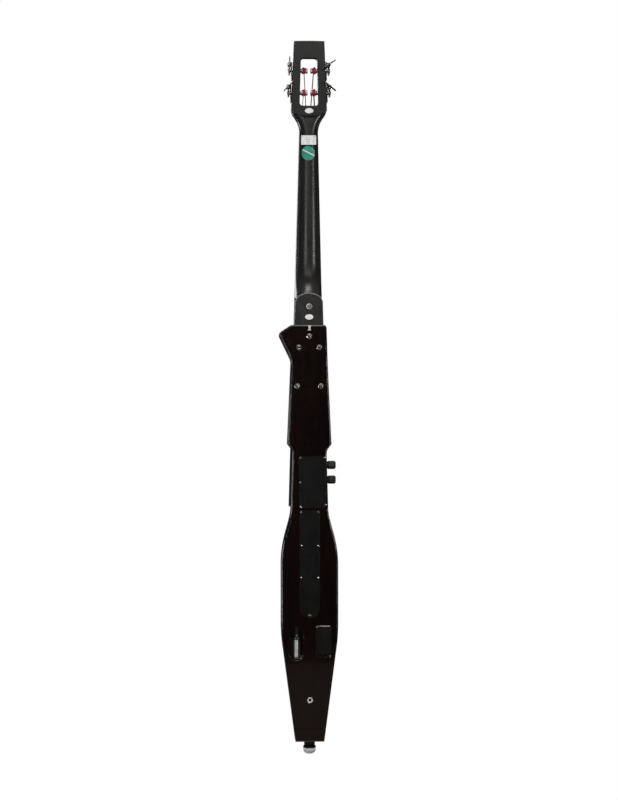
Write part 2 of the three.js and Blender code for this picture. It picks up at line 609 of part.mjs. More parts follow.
STRINGS.forEach(({ name, radius, nutX, bridgeX, post }, i) => {
  const nutDepth = nutCrown(nutX) - radius - GAP;
  const bridgeY = bridgeCrown(bridgeX) - radius - GAP;
  const crown = BRIDGE_HALF_THICKNESS.crown + 0.5;
  const windingX = Math.sign(nutX) * 11;
  const [endDepth, endRise] = windingPoint(radius, nutDepth, NUT_LENGTH + GAP, post);
  add(`string_${name}`, cord([
    onTail(tailX(i), 0, -12),
    [bridgeX, bridgeY, BRIDGE_Z - crown],
    [bridgeX, bridgeY, BRIDGE_Z + crown],
    onNeck(nutX, nutDepth, -0.2),
    onNeck(nutX, nutDepth, NUT_LENGTH + GAP),
    onNeck(windingX, endDepth, endRise),
  ], radius), STEEL);
});

// ---------- covers and electronics ----------

const COVER_BASE = BACK - COVER_REBATE + GAP;
const COVER_FACE = COVER_BASE + 2;
add('control_cover', prismY(controlCoverOutline(0), COVER_BASE, COVER_FACE), BLACK_PLASTIC);
add('channel_cover', prismY(channelCoverOutline(0), COVER_BASE, COVER_FACE), BLACK_PLASTIC);

const boardFloor = CONTROL_CAVITY.floor + GAP;
add('preamp_board', join(
  box(-14, 18, boardFloor, boardFloor + 1.6, 572, 656),
  box(-8, 2, boardFloor + 1, boardFloor + 5, 630, 650),
  box(6, 14, boardFloor + 1, boardFloor + 9, 580, 588),
  box(-6, 4, boardFloor + 1, boardFloor + 6, 590, 606),
), BOARD_GREEN);

const KNOB_FACE = -59.4;
const SHAFT = 3;
const sideAt = (z) => -THREE.MathUtils.mapLinear(z, 676, 553, 38.4, 41.8);

// A potentiometer in the cavity, its bushing through the side of the body, and the knob on its shaft.
for (const [name, z] of Object.entries(KNOB_Z)) {
  const at = [0, KNOB_Y, z];
  const wall = CONTROL_CAVITY.right + GAP;
  const side = sideAt(z);
  const can = cylinder(8.5, wall, wall + 10, 'x', at);
  const bushing = cylinder(3.6, side + 0.5, wall + 1, 'x', at, 14);
  add(`pot_${name}`, cut(join(can, bushing), cylinder(SHAFT + GAP, side - 9, wall + 6, 'x', at, 14)), STEEL);
  const grip = turned([[0, KNOB_FACE], [7.6, KNOB_FACE], [8.8, KNOB_FACE + 1.2], [9.5, KNOB_FACE + 6],
    [9.5, side - 2.6], [8.6, side - 0.8], [0, side - 0.8]], 'x', at, 20);
  add(`knob_${name}`, join(grip, cylinder(SHAFT, side - 4, wall + 5, 'x', at, 14)), DARK_METAL);
}

const JACK_WALL = { low: 262, high: 264.4 };
const TROUGH = { inner: 6.6, outer: 7.9, low: 220 };

function jackPlate() {
  const at = [JACK.x, JACK.axisY, 0];
  const { inner, outer, low } = TROUGH;
  const trough = cut(
    cylinder(outer, low, JACK_WALL.high, 'z', at),
    cylinder(inner, low - 5, JACK_WALL.low, 'z', at),
    box(JACK.x - 20, JACK.x + 20, JACK.axisY + 1.5, BACK + 9, low - 5, JACK_WALL.low));
  const tabBase = JACK.axisY - outer;
  const tab = prismY(slotOutline(JACK.x, 4.5, JACK.low + 1.4, low + 6), tabBase, tabBase + 1.4);
  const joined = join(trough, tab);
  return cut(joined, cylinder(4.6, JACK_WALL.low - 1, JACK_WALL.high + 1, 'z', at));
}

add('jack_plate', jackPlate(), CHROME);
add('output_jack', cut(join(
  cylinder(4.3, JACK_WALL.low - 4.2, JACK_WALL.high + GAP + 1, 'z', [JACK.x, JACK.axisY, 0]),
  cylinder(6.2, JACK_WALL.low - GAP - 2, JACK_WALL.low - GAP, 'z', [JACK.x, JACK.axisY, 0], 6),
  cylinder(7.6, JACK_WALL.high + GAP, JACK_WALL.high + 30, 'z', [JACK.x, JACK.axisY, 0]),
), cylinder(3.4, JACK_WALL.low - 9, JACK_WALL.high + 26, 'z', [JACK.x, JACK.axisY, 0])), STEEL);

const LID = { half: 14.2, low: 226, high: 285.6, base: 27.2, face: 30, pinY: 28.6, pinZ: 284.2 };
const FLANGE_FACE = 30.9;
const FLANGE_HALF = 17.5;

function batteryCase() {
  const { x } = BATTERY;
  const { half, low, high, floor } = BATTERY_CASE;
  const shell = box(x - half, x + half, floor, FLANGE_FACE, low, high);
  const corners = [[x - FLANGE_HALF, BATTERY.low], [x + FLANGE_HALF, BATTERY.low],
    [x + FLANGE_HALF, BATTERY.high], [x - FLANGE_HALF, BATTERY.high]];
  const flange = prismY(roundedQuad(corners, 4), BACK + GAP, FLANGE_FACE);
  return cut(join(shell, flange),
    box(x - 14.5, x + 14.5, floor + 1.5, FLANGE_FACE + 5, low + 1.5, high - 1.5),
    cylinder(1.15, x - 15.7, x + 15.7, 'x', [0, LID.pinY, LID.pinZ], 10));
}

function batteryLid() {
  const { x } = BATTERY;
  const { half, low, high, base, face, pinY, pinZ } = LID;
  const leaf = box(x - half, x + half, base, face, low, pinZ);
  const knuckle = cylinder(high - pinZ, x - half, x + half, 'x', [0, pinY, pinZ], 16);
  const notch = cylinder(5, face - 1, face + 3, 'y', [x, 0, low - 1], 16);
  return cut(join(leaf, knuckle), cylinder(1.25, x - 20, x + 20, 'x', [0, pinY, pinZ], 10), notch);
}

add('battery_case', batteryCase(), BLACK_PLASTIC);
add('battery_lid', batteryLid(), BLACK_PLASTIC);
add('battery_hinge_pin', cylinder(1, BATTERY.x - 15.4, BATTERY.x + 15.4, 'x', [0, LID.pinY, LID.pinZ], 10),
  STEEL);
const batteryBase = BATTERY_CASE.floor + 1.5 + GAP;
add('battery', join(
  box(BATTERY.x - 13.2, BATTERY.x + 13.2, batteryBase, batteryBase + 17.5, 226, 271.6),
  cylinder(3, 271, 274, 'z', [BATTERY.x - 6.5, batteryBase + 8.7, 0], 12),
  cylinder(4, 271, 274, 'z', [BATTERY.x + 6.5, batteryBase + 8.7, 0], 6),
), DARK_METAL);

add('wiring_loom', cord([[-4, 9, 612], [-2, 17, 585], [0, 20, 566], [0, 20, 535], [2, 19, 500], [-2, 19, 440],
  [2, 19, 380], [10, JACK.axisY + 0.2, 346], [16, JACK.axisY, JUNCTION_Z], [26, JACK.axisY, JUNCTION_Z]],
1.6), CABLE_BLACK);

// ---------- fittings on the back ----------

add('stand_insert', cut(
  turned([[0, BACK - 13], [4.8, BACK - 13], [4.8, BACK + GAP], [6.6, BACK + GAP], [6.2, BACK + 1.1],
    [0, BACK + 1.1]], 'y', [0, 0, INSERT_Z]),
  cylinder(2.2, BACK - 10, BACK + 5, 'y', [0, 0, INSERT_Z], 14)), BRASS);

function fixingBolt(x, z, seat, headRadius, shankEnd) {
  const ferrule = seat - FERRULE_DEPTH;
  return turned([[0, shankEnd], [2.1, shankEnd], [2.1, ferrule], [headRadius, ferrule],
    [headRadius, seat + 0.4], [headRadius - 0.8, seat + 0.9], [headRadius * 0.68, seat + 0.9],
    [headRadius * 0.5, seat + 1.9], [0, seat + 2.3]], 'y', [x, 0, z], 12);
}

NECK_BOLTS.forEach(([x, z], i) => {
  add(`neck_bolt_${i + 1}`, fixingBolt(x, z, BACK, 6.5, POCKET_BACK - 14), CHROME);
});
add('heel_bolt', fixingBolt(0, HEEL_BOLT_Z, HEEL_BACK + GAP, 7, HEEL_BACK - 26), CHROME);

// ---------- endpin ----------

const COLLAR_RADIUS = 12.25;
const COLLAR_LOW = 19;
const bore = ROD_RADIUS + GAP;
add('endpin_socket', cut(
  turned([[bore, COLLAR_LOW], [COLLAR_RADIUS - 1.5, COLLAR_LOW], [COLLAR_RADIUS, COLLAR_LOW + 1.5],
    [COLLAR_RADIUS, BODY_BOTTOM - GAP], [SOCKET_TUBE, BODY_BOTTOM - GAP], [SOCKET_TUBE, SOCKET_TOP],
    [bore, SOCKET_TOP], [bore, COLLAR_LOW]], 'z', [0, 0, 0], 20),
  cylinder(CLAMP_RADIUS + GAP, -SOCKET_TUBE - 2, -bore + 1.5, 'y', [0, 0, CLAMP_Z], 12)), BLACK_PLASTIC);
add('endpin_rod', cylinder(ROD_RADIUS, 7.3, ROD_TOP, 'z'), STEEL);
add('endpin_foot', turned([[0, 0], [6, 0], [10.5, 1.8], [13.2, 5], [14.2, 9.5], [14.2, 17], [13, 18.6],
  [bore, 18.6], [bore, 7], [0, 7]], 'z', [0, 0, 0], 20), CHROME);
add('endpin_thumbscrew', join(
  cylinder(CLAMP_RADIUS, FRONT - 12, -ROD_RADIUS - 0.6, 'y', [0, 0, CLAMP_Z], 12),
  turned([[0, FRONT - 20], [8, FRONT - 20], [10, FRONT - 18.5], [10, FRONT - 12], [6, FRONT - 9],
    [5, FRONT - 5], [0, FRONT - 5]], 'y', [0, 0, CLAMP_Z], 18)), BRASS);

// ---------- tuners ----------

const PLATE = { thickness: 2, front: 2, back: 28, reach: 22 };
const LUG = { thickness: 3, half: 5, depths: [3, 24] };
const WORM = { core: 2.4, tip: 4.2, shaft: 1.8, low: 10, high: 20 };
const GEAR = { thickness: 4, root: 8.3, tip: 10.2, hub: 3.3, standoff: 2.6 };
const KEY_WING = { low: 37, high: 58, half: 17, thickness: 2.6 };

// Outline in depth and rise, with a gap between two teeth facing the worm.
function gearOutline() {
  const pitch = (2 * Math.PI) / GEAR_TEETH;
  const [rootHalf, tipHalf] = [0.3 * pitch, 0.12 * pitch];
  const points = [];
  for (let tooth = 0; tooth < GEAR_TEETH; tooth++) {
    const middle = Math.PI / 2 + (tooth + 0.5) * pitch;
    for (const [radius, offset] of [[GEAR.root, -rootHalf], [GEAR.tip, -tipHalf], [GEAR.tip, tipHalf],
      [GEAR.root, rootHalf]]) {
      const angle = middle + offset;
      points.push([POST_DEPTH + radius * Math.cos(angle), radius * Math.sin(angle)]);
    }
  }
  return outline(points);
}

// A right-handed thread along the depth axis, with its flank lowest at the middle of the gear.
function wormThread() {
  const steps = 8;
  const turns = (WORM.high - WORM.low - 2) / WORM_LEAD;
  const count = Math.round(turns * steps);
  const rings = Array.from({ length: count + 1 }, (_, i) => {
    const turn = (i - count / 2) / steps;
    const angle = 2 * Math.PI * turn;
    const place = (radius, shift) => [radius * Math.sin(-angle), POST_DEPTH + WORM_LEAD * turn + shift,
      -radius * Math.cos(angle)];
    const root = WORM.core - 0.4;
    return [place(root, -0.7), place(root, 0.7), place(WORM.tip, 0.28), place(WORM.tip, -0.28)];
  });
  return loft(rings);
}

// The flat wing of a key in its own plane, drawn across and along the shaft.
function wingOutline() {
  const { low, high, half } = KEY_WING;
  const shape = new THREE.Shape();
  shape.moveTo(2.5, low);
  shape.bezierCurveTo(5, low + 2, 8, low - 1, half - 3, low + 1);
  shape.bezierCurveTo(half + 1.5, low + 4, half + 1, high - 6, half - 3, high - 2);
  shape.bezierCurveTo(8, high + 1, 4, high - 3, 0, high - 4);
  shape.bezierCurveTo(-4, high - 3, -8, high + 1, -half + 3, high - 2);
  shape.bezierCurveTo(-half - 1, high - 6, -half - 1.5, low + 4, -half + 3, low + 1);
  shape.bezierCurveTo(-8, low - 1, -5, low + 2, -2.5, low);
  return shape;
}

function keyPiece(turn) {
  const wing = solid(extruded(wingOutline(), KEY_WING.thickness, { curveSegments: 3 })
    .translate(0, 0, -KEY_WING.thickness / 2).rotateY(turn));
  return join(
    cylinder(WORM.core, WORM.low, WORM.high, 'y', [0, 0, 0], 8),
    cylinder(WORM.shaft, -1, KEY_WING.low + 6, 'y', [0, 0, 0], 10),
    turned([[0, 28.6], [3, 28.6], [3.4, 31], [2.6, 34], [2.8, KEY_WING.low + 4], [0, KEY_WING.low + 9]],
      'y', [0, 0, 0], 10),
    wormThread(), wing);
}

function addTuner({ name, side, post, turn }) {
  const face = headHalfWidth(post - PLATE.reach) + GAP;
  const plateOut = face + PLATE.thickness;
  const gearIn = plateOut + GEAR.standoff;
  const gearOut = gearIn + GEAR.thickness;
  const wormX = gearIn + GEAR.thickness / 2;
  const slab = (x0, x1, ...rest) => box(Math.min(side * x0, side * x1),
    Math.max(side * x0, side * x1), ...rest);
  const rod = (radius, x0, x1, segments) => cylinder(radius, Math.min(side * x0, side * x1),
    Math.max(side * x0, side * x1), 'x', [0, POST_DEPTH, post], segments);
  const wormRise = post + WORM_OFFSET;

  const lugs = LUG.depths.map((depth) => slab(face + 0.5, wormX + 4, depth, depth + LUG.thickness,
    wormRise - LUG.half, wormRise + LUG.half));
  add(`tuner_plate_${name}`, cut(
    join(slab(face, plateOut, PLATE.front, PLATE.back, post - PLATE.reach, post + PLATE.reach), ...lugs),
    rod(4.6 + GAP, face - 1, plateOut + 1, 16),
    cylinder(WORM.shaft + 0.2, -5, 40, 'y', [side * wormX, 0, wormRise], 12)), CHROME, neckGroup);

  const wheel = prismX(gearOutline(), Math.min(side * gearIn, side * gearOut),
    Math.max(side * gearIn, side * gearOut)).translate([0, 0, post]);
  add(`tuner_gear_${name}`, cut(wheel, rod(GEAR.hub, gearIn - 1, gearOut + 1, 16)), BRASS, neckGroup);

  const profile = [[3.2, 0], [3.2, 6.4], [4.6, DRUM_RADIUS + 0.6], [5.6, DRUM_RADIUS], [16.8, DRUM_RADIUS],
    [17.6, 4.6], [gearIn - GAP, 4.6], [gearIn - GAP, GEAR.hub - 0.2], [gearOut + GAP, GEAR.hub - 0.2],
    [gearOut + GAP, 4.6], [gearOut + 1.2, 4.2], [gearOut + 1.6, 0]];
  const postSolid = turned(profile.map(([x, r]) => [r, side * x]), 'x', [0, POST_DEPTH, post], 12);
  add(`tuner_post_${name}`, postSolid, STEEL, neckGroup);
  add(`tuner_key_${name}`, keyPiece(turn).translate([side * wormX, 0, wormRise]), CHROME, neckGroup);
}

// The angle of each wing about its shaft.
const degrees = THREE.MathUtils.degToRad;
[
  { name: 'e', side: -1, post: LOWER_POST, turn: degrees(-39) },
  { name: 'a', side: -1, post: UPPER_POST, turn: degrees(34) },
  { name: 'd', side: 1, post: UPPER_POST, turn: degrees(90) },
  { name: 'g', side: 1, post: LOWER_POST, turn: degrees(45) },
].forEach(addTuner);

export default bass;
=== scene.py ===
"""Electric upright double bass, seen from behind. Meshes are drawn in millimetres and stored in metres."""

import json
import math

import bmesh
import bpy
from mathutils import Matrix, Vector

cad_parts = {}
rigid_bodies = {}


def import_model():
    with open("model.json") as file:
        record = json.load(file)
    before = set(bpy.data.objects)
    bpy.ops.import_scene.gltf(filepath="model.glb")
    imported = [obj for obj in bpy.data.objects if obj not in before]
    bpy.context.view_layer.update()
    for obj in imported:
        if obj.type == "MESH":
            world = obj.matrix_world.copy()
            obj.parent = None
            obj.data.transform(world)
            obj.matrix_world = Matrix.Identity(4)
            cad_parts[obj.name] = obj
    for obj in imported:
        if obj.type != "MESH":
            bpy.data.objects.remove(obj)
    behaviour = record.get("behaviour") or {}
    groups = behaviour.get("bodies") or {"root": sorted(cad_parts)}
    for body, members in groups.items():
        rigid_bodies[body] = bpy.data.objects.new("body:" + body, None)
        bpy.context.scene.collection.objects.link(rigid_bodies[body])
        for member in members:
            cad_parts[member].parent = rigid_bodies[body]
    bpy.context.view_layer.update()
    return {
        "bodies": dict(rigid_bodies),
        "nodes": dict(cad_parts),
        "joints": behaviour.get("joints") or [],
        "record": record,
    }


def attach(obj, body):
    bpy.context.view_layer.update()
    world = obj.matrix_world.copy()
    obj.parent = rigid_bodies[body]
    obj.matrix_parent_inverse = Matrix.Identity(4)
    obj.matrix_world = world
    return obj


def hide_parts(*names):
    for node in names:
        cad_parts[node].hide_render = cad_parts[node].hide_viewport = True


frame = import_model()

MM = 0.001

# ---------- driving dimensions, in millimetres, as in the CAD model ----------

GAP = 0.3
BACK = 29
FRONT = -29
BODY_TOP = 966
BODY_BOTTOM = 30
END_BLOCK_TOP = 60
NUT_Z = 1445
BRIDGE_Z = 385
NECK_TILT = math.radians(4.8)
GLUE_Y = -6
BOARD_END_Z = 553
NUT_HALF_WIDTH = 20.5
BOARD_END_HALF_WIDTH = 43.5
PLAYING_RADIUS = 80
HEEL_BACK = 14
POCKET_BACK = 5
TONGUE_BOTTOM = 806
HEEL_TOP = 1038
HEAD_THICKNESS = 32
HEAD_TOP = 160
POST_DEPTH = 15
INSERT_Z = 124
HEEL_BOLT_Z = 1008
JACK_X = 29.7
JACK_Y = 17
BATTERY_X = -31
NECK_BOLTS = [(0, 940), (24, 915), (-22, 915), (27, 828), (-26, 828)]
STRING_NAMES = ("e", "a", "d", "g")

ROOT = "instrument"
NECK_FRAME = Matrix.Translation((0, GLUE_Y, NUT_Z)) @ Matrix.Rotation(-NECK_TILT, 4, "X")


def rise_at(z):
    return (z - NUT_Z) / math.cos(NECK_TILT)


def lerp(a, b, t):
    return a + (b - a) * t


def board_half_width(rise):
    return lerp(NUT_HALF_WIDTH, BOARD_END_HALF_WIDTH, rise / rise_at(BOARD_END_Z))


def sag(x):
    return PLAYING_RADIUS - math.sqrt(PLAYING_RADIUS**2 - x**2)


# ---------- materials ----------


class Nodes:
    """A node tree under construction. Inputs are plain values, or sockets to link."""

    def __init__(self, tree):
        self.nodes, self.links = tree.nodes, tree.links

    def node(self, kind, inputs=None, **settings):
        made = self.nodes.new("ShaderNode" + kind)
        for key, value in settings.items():
            setattr(made, key, value)
        for socket, value in (inputs or {}).items():
            self.feed(made.inputs[socket], value)
        return made

    def feed(self, socket, value):
        if isinstance(value, bpy.types.NodeSocket):
            self.links.new(value, socket)
        else:
            socket.default_value = (*value, 1) if socket.type == "RGBA" else value


class Material(Nodes):
    """A procedural material round one Principled shader. Patterns are drawn in the object's own metres."""

    def __init__(self, name, roughness=0.5, metallic=0.0, **others):
        self.data = bpy.data.materials.new(name)
        self.data.use_nodes = True
        super().__init__(self.data.node_tree)
        self.shader = self.nodes["Principled BSDF"]
        values = {"Base_Color": (0.5, 0.5, 0.5), "Roughness": roughness, "Metallic": metallic, **others}
        for socket, value in values.items():
            self.feed(self.shader.inputs[socket.replace("_", " ")], value)
        self.place = self.node("TexCoord").outputs["Object"]
        self.normal = None

    def stretched(self, scale):
        return self.node("Mapping", {"Vector": self.place, "Scale": scale}).outputs["Vector"]

    def noise(self, scale, stretch=(1, 1, 1), detail=3.0, roughness=0.5, distortion=0.0):
        return self.node("TexNoise", {"Vector": self.stretched(stretch), "Scale": scale, "Detail": detail,
                                      "Roughness": roughness, "Distortion": distortion}).outputs["Fac"]

    def wave(self, scale, distortion=0.0, detail=0.0, profile="SIN"):
        inputs = {"Vector": self.place, "Scale": scale, "Distortion": distortion, "Detail": detail}
        return self.node("TexWave", inputs, bands_direction="Z", wave_profile=profile).outputs["Fac"]

    def cells(self, scale, stretch):
        inputs = {"Vector": self.stretched(stretch), "Scale": scale}
        return self.node("TexVoronoi", inputs).outputs["Distance"]

    def maths(self, operation, *values):
        return self.node("Math", dict(enumerate(values)), operation=operation).outputs[0]

    def remap(self, value, low, high, to_low=0.0, to_high=1.0):
        return self.node("MapRange", {"Value": value, "From Min": low, "From Max": high, "To Min": to_low,
                                      "To Max": to_high}).outputs["Result"]

    def ramp(self, value, *stops):
        made = self.node("ValToRGB", {"Fac": value})
        elements = made.color_ramp.elements
        while len(elements) < len(stops):
            elements.new(0.5)
        for element, (position, color) in zip(elements, stops):
            element.position, element.color = position, (*color, 1)
        return made.outputs["Color"]

    def mix(self, factor, first, second, blend="MIX"):
        return self.node("Mix", {"Factor": factor, 6: first, 7: second}, data_type="RGBA",
                         blend_type=blend).outputs[2]

    def color(self, value):
        self.feed(self.shader.inputs["Base Color"], value)
        return self

    def roughness(self, value, low, high):
        self.feed(self.shader.inputs["Roughness"], self.remap(value, 0.3, 0.7, low, high))
        return self

    def bump(self, value, strength, depth):
        inputs = {"Height": value, "Strength": strength, "Distance": depth}
        if self.normal is not None:
            inputs["Normal"] = self.normal
        self.normal = self.node("Bump", inputs).outputs["Normal"]
        self.feed(self.shader.inputs["Normal"], self.normal)
        return self


ALONG = (1, 1, 0.06)  # wood grain runs up the instrument


def lacquer():
    """Deep red-brown gloss over straight-grained wood, almost black."""
    m = Material("lacquer", 0.14, Coat_Weight=0.4, Coat_Roughness=0.04)
    grain = m.noise(160, ALONG, detail=6, roughness=0.6, distortion=0.4)
    wood = m.ramp(grain, (0.3, (0.0028, 0.0006, 0.0004)), (0.55, (0.0062, 0.0014, 0.0009)),
                  (0.75, (0.0105, 0.0026, 0.0014)))
    tone = m.ramp(m.noise(14, (1, 1, 0.25), detail=2), (0.3, (0.62, 0.55, 0.5)), (0.7, (1.35, 1.3, 1.25)))
    m.color(m.mix(1.0, wood, tone, "MULTIPLY")).roughness(m.noise(120), 0.1, 0.14)
    return m.bump(grain, 0.06, 0.0001).bump(m.noise(700, detail=1), 0.05, 0.0001).data


def satin_black():
    """Charcoal satin paint with the pores of the maple just showing."""
    m = Material("satin_black", 0.3)
    pores = m.noise(420, ALONG, detail=5, roughness=0.65)
    tone = m.noise(22, (1, 1, 0.3))
    m.color(m.ramp(tone, (0.3, (0.0105, 0.0094, 0.0082)), (0.7, (0.0145, 0.0131, 0.0116))))
    m.roughness(m.noise(90, (1, 1, 0.4), detail=4), 0.22, 0.3)
    return m.bump(pores, 0.12, 0.00012).bump(m.noise(2600, detail=1), 0.08, 0.00005).data


def heel_highlight_paint():
    """Grey satin paint as a painted highlight, standing in for the light caught along an edge."""
    m = Material("heel_highlight_paint", 0.3)
    m.color(m.ramp(m.noise(180, detail=4), (0.3, (0.12, 0.115, 0.105)), (0.7, (0.4, 0.39, 0.37))))
    return m.roughness(m.noise(240), 0.24, 0.4).bump(m.noise(1500, detail=1), 0.08, 0.00005).data


def ebony():
    m = Material("ebony", 0.38)
    streaks = m.noise(120, (1, 1, 0.03), detail=6, roughness=0.7, distortion=0.3)
    m.color(m.ramp(streaks, (0.35, (0.0045, 0.0036, 0.003)), (0.58, (0.012, 0.0088, 0.0065)),
                   (0.72, (0.03, 0.019, 0.012))))
    return m.roughness(m.noise(60, (1, 1, 0.2), detail=4), 0.3, 0.48).bump(streaks, 0.12, 0.0001).data


def maple():
    m = Material("maple", 0.45)
    grain = m.noise(260, (0.12, 1, 1), detail=6, roughness=0.6, distortion=0.6)
    flecks = m.remap(m.cells(520, (0.25, 1, 1)), 0.0, 0.5, 1.0, 0.0)
    base = m.ramp(grain, (0.3, (0.34, 0.19, 0.085)), (0.55, (0.52, 0.33, 0.165)), (0.75, (0.62, 0.43, 0.24)))
    m.color(m.mix(m.remap(flecks, 0.6, 1.0, 0.0, 0.5), base, (0.27, 0.13, 0.05)))
    return m.roughness(m.noise(80), 0.38, 0.55).bump(grain, 0.15, 0.0001).data


def bone():
    m = Material("bone", 0.35)
    tone = m.noise(120, (0.2, 1, 1), detail=4)
    m.color(m.ramp(tone, (0.3, (0.66, 0.6, 0.46)), (0.7, (0.8, 0.76, 0.64))))
    return m.roughness(m.noise(300), 0.3, 0.45).bump(tone, 0.05, 0.0001).data


def moulded_plastic(name, dark, light, rough):
    """Moulded plastic with a fine even texture and faint handling marks."""
    m = Material(name, rough, Specular_IOR_Level=0.13)
    m.color(m.ramp(m.noise(30, detail=4), (0.35, dark), (0.65, light)))
    m.roughness(m.noise(55, detail=5), rough - 0.07, rough + 0.08)
    return m.bump(m.noise(1700, detail=2), 0.25, 0.00005).data


def polished(m, worn, bright, low, high):
    """Metal: slight cloudiness and fine scratches."""
    m.roughness(m.noise(260, detail=5, roughness=0.6), low, high)
    m.bump(m.noise(900, (1, 0.3, 1), detail=2), 0.015, 0.00002)
    return m.ramp(m.noise(140, detail=4), (0.3, worn), (0.6, bright))


def plated(name, color, rough, wear):
    m = Material(name, rough, 1.0)
    return m.color(polished(m, wear, color, rough * 0.75, rough * 1.3)).data


def trough_metal(centre, half):
    """Bright metal down the middle of the trough; its sides painted nearly black, a painted shade and dark
    reflection.
    """
    m = Material("trough_metal", 0.2, 0.6)
    across = m.node("SeparateXYZ", {0: m.place}).outputs["X"]
    distance = m.maths("ABSOLUTE", m.maths("SUBTRACT", across, centre * MM))
    # painted shade: the metal's colour goes nearly black along the trough's sides, standing in for shade and
    # dark reflections
    painted_side_shade = m.remap(distance, (half - 0.8) * MM, (half + 0.8) * MM)
    bright = polished(m, (0.62, 0.61, 0.6), (0.8, 0.8, 0.79), 0.14, 0.26)
    return m.color(m.mix(painted_side_shade, bright, (0.03, 0.027, 0.025))).data


def knob_metal():
    m = Material("knob_metal", 0.34, 0.75)
    m.color(m.ramp(m.noise(320, (0.1, 1, 1)), (0.3, (0.034, 0.03, 0.026)), (0.7, (0.066, 0.058, 0.05))))
    m.roughness(m.noise(200, detail=4), 0.28, 0.46)
    return m.bump(m.noise(1500, (0.05, 1, 1), detail=2), 0.1, 0.00004).data


def red_silk():
    """Silk thread wound round and round: fine ridges across the run, a soft sheen."""
    m = Material("red_silk", 0.62, Sheen_Weight=0.35, Sheen_Roughness=0.4)
    thread = m.noise(2300)
    m.color(m.ramp(thread, (0.3, (0.22, 0.006, 0.014)), (0.7, (0.42, 0.014, 0.03))))
    return m.roughness(m.noise(900), 0.5, 0.75).bump(thread, 0.6, 0.0002).data


def wound_steel():
    """Flat-wound string: bright ribbon turns with dark seams between them."""
    m = Material("wound_steel", 0.3, 1.0)
    turns = m.wave(820, profile="SAW")
    m.color(m.ramp(turns, (0.05, (0.16, 0.155, 0.15)), (0.25, (0.46, 0.45, 0.435)),
                   (0.9, (0.55, 0.54, 0.52))))
    return m.roughness(m.noise(300), 0.24, 0.4).bump(turns, 0.3, 0.0001).data


def rubber_black():
    m = Material("rubber_black", 0.6)
    m.color(m.ramp(m.noise(200, detail=4), (0.35, (0.008, 0.008, 0.008)), (0.65, (0.016, 0.016, 0.015))))
    return m.roughness(m.noise(400), 0.5, 0.7).bump(m.noise(1800), 0.15, 0.00006).data


def circuit_board():
    m = Material("circuit_board", 0.35)
    tracks = m.remap(m.wave(90, distortion=6, detail=2), 0.45, 0.55)
    return m.color(m.mix(tracks, (0.012, 0.075, 0.03), (0.02, 0.13, 0.055))).bump(tracks, 0.2, 0.0001).data


def paper(name, base, mark, mark_scale):
    """A paper sticker with faint printed bars."""
    m = Material(name, 0.45)
    fibre = m.noise(900, detail=4)
    tone = m.ramp(fibre, (0.3, tuple(v * 0.93 for v in base)), (0.7, base))
    bars = m.remap(m.wave(mark_scale), 0.72, 0.8)
    gaps = m.remap(m.noise(260, (1, 1, 0.2)), 0.48, 0.52)
    m.color(m.mix(m.mix(1.0, bars, gaps, "MULTIPLY"), tone, mark))
    return m.roughness(m.noise(300), 0.36, 0.55).bump(fibre, 0.1, 0.00005).data


def teal_foil(centre):
    """A teal round sticker with a pale slanting band."""
    m = Material("teal_foil", 0.3)
    place = m.node("SeparateXYZ", {0: m.place}).outputs
    height = m.maths("MULTIPLY_ADD", place["X"], -0.5, place["Z"])
    band = m.maths("COMPARE", height, (centre[2] - centre[0] * 0.5) * MM, 0.0015)
    teal = m.ramp(m.noise(130), (0.3, (0.012, 0.22, 0.155)), (0.7, (0.03, 0.36, 0.26)))
    m.color(m.mix(band, teal, (0.62, 0.72, 0.68)))
    return m.roughness(m.noise(300), 0.24, 0.4).bump(m.noise(700), 0.05, 0.00005).data


LACQUER = lacquer()
SATIN_BLACK = satin_black()
HEEL_HIGHLIGHT_PAINT = heel_highlight_paint()
EBONY = ebony()
MAPLE = maple()
BONE = bone()
BLACK_PLASTIC = moulded_plastic("black_plastic", (0.0036, 0.0036, 0.0033), (0.0056, 0.0054, 0.005), 0.34)
LID_PLASTIC = moulded_plastic("lid_plastic", (0.0062, 0.0048, 0.0038), (0.0095, 0.0078, 0.0066), 0.32)
CHROME = plated("chrome", (0.78, 0.78, 0.77), 0.09, (0.66, 0.66, 0.65))
SMOKED = plated("smoked_chrome", (0.26, 0.255, 0.25), 0.16, (0.19, 0.185, 0.18))
STEEL = plated("steel", (0.6, 0.59, 0.57), 0.26, (0.46, 0.45, 0.43))
NICKEL = plated("nickel", (0.62, 0.6, 0.56), 0.13, (0.46, 0.44, 0.41))
ZINC = plated("zinc", (0.86, 0.83, 0.76), 0.52, (0.74, 0.7, 0.62))
DIM_NICKEL = plated("dim_nickel", (0.4, 0.39, 0.37), 0.11, (0.28, 0.27, 0.25))
DARK_STEEL = plated("dark_steel", (0.09, 0.085, 0.08), 0.36, (0.05, 0.048, 0.045))
BLACK_METAL = plated("black_metal", (0.016, 0.015, 0.014), 0.38, (0.01, 0.0095, 0.009))
BRASS = plated("brass", (0.66, 0.5, 0.23), 0.3, (0.42, 0.3, 0.13))
COPPER = plated("copper_foil", (0.5, 0.26, 0.13), 0.32, (0.36, 0.17, 0.08))
KNOB = knob_metal()
RED_SILK = red_silk()
WOUND_STEEL = wound_steel()
RUBBER = rubber_black()
CIRCUIT = circuit_board()
OVAL_PAPER = paper("oval_paper", (0.9, 0.9, 0.88), (0.6, 0.6, 0.6), 60)
LABEL_PAPER = paper("label_paper", (0.88, 0.9, 0.88), (0.4, 0.41, 0.42), 80)

# ---------- camera, floor and light ----------

VIEW_AZIMUTH = math.radians(177.3)
VIEW_DISTANCE = 4.516
VIEW_HEIGHT = 0.7974
VIEW_LENS = 90.0
VIEW_ROLL = math.radians(-0.08)
ROOM_DIM = 0.02
ROOM_BRIGHT = 0.35
ROOM_FILL = 0.56
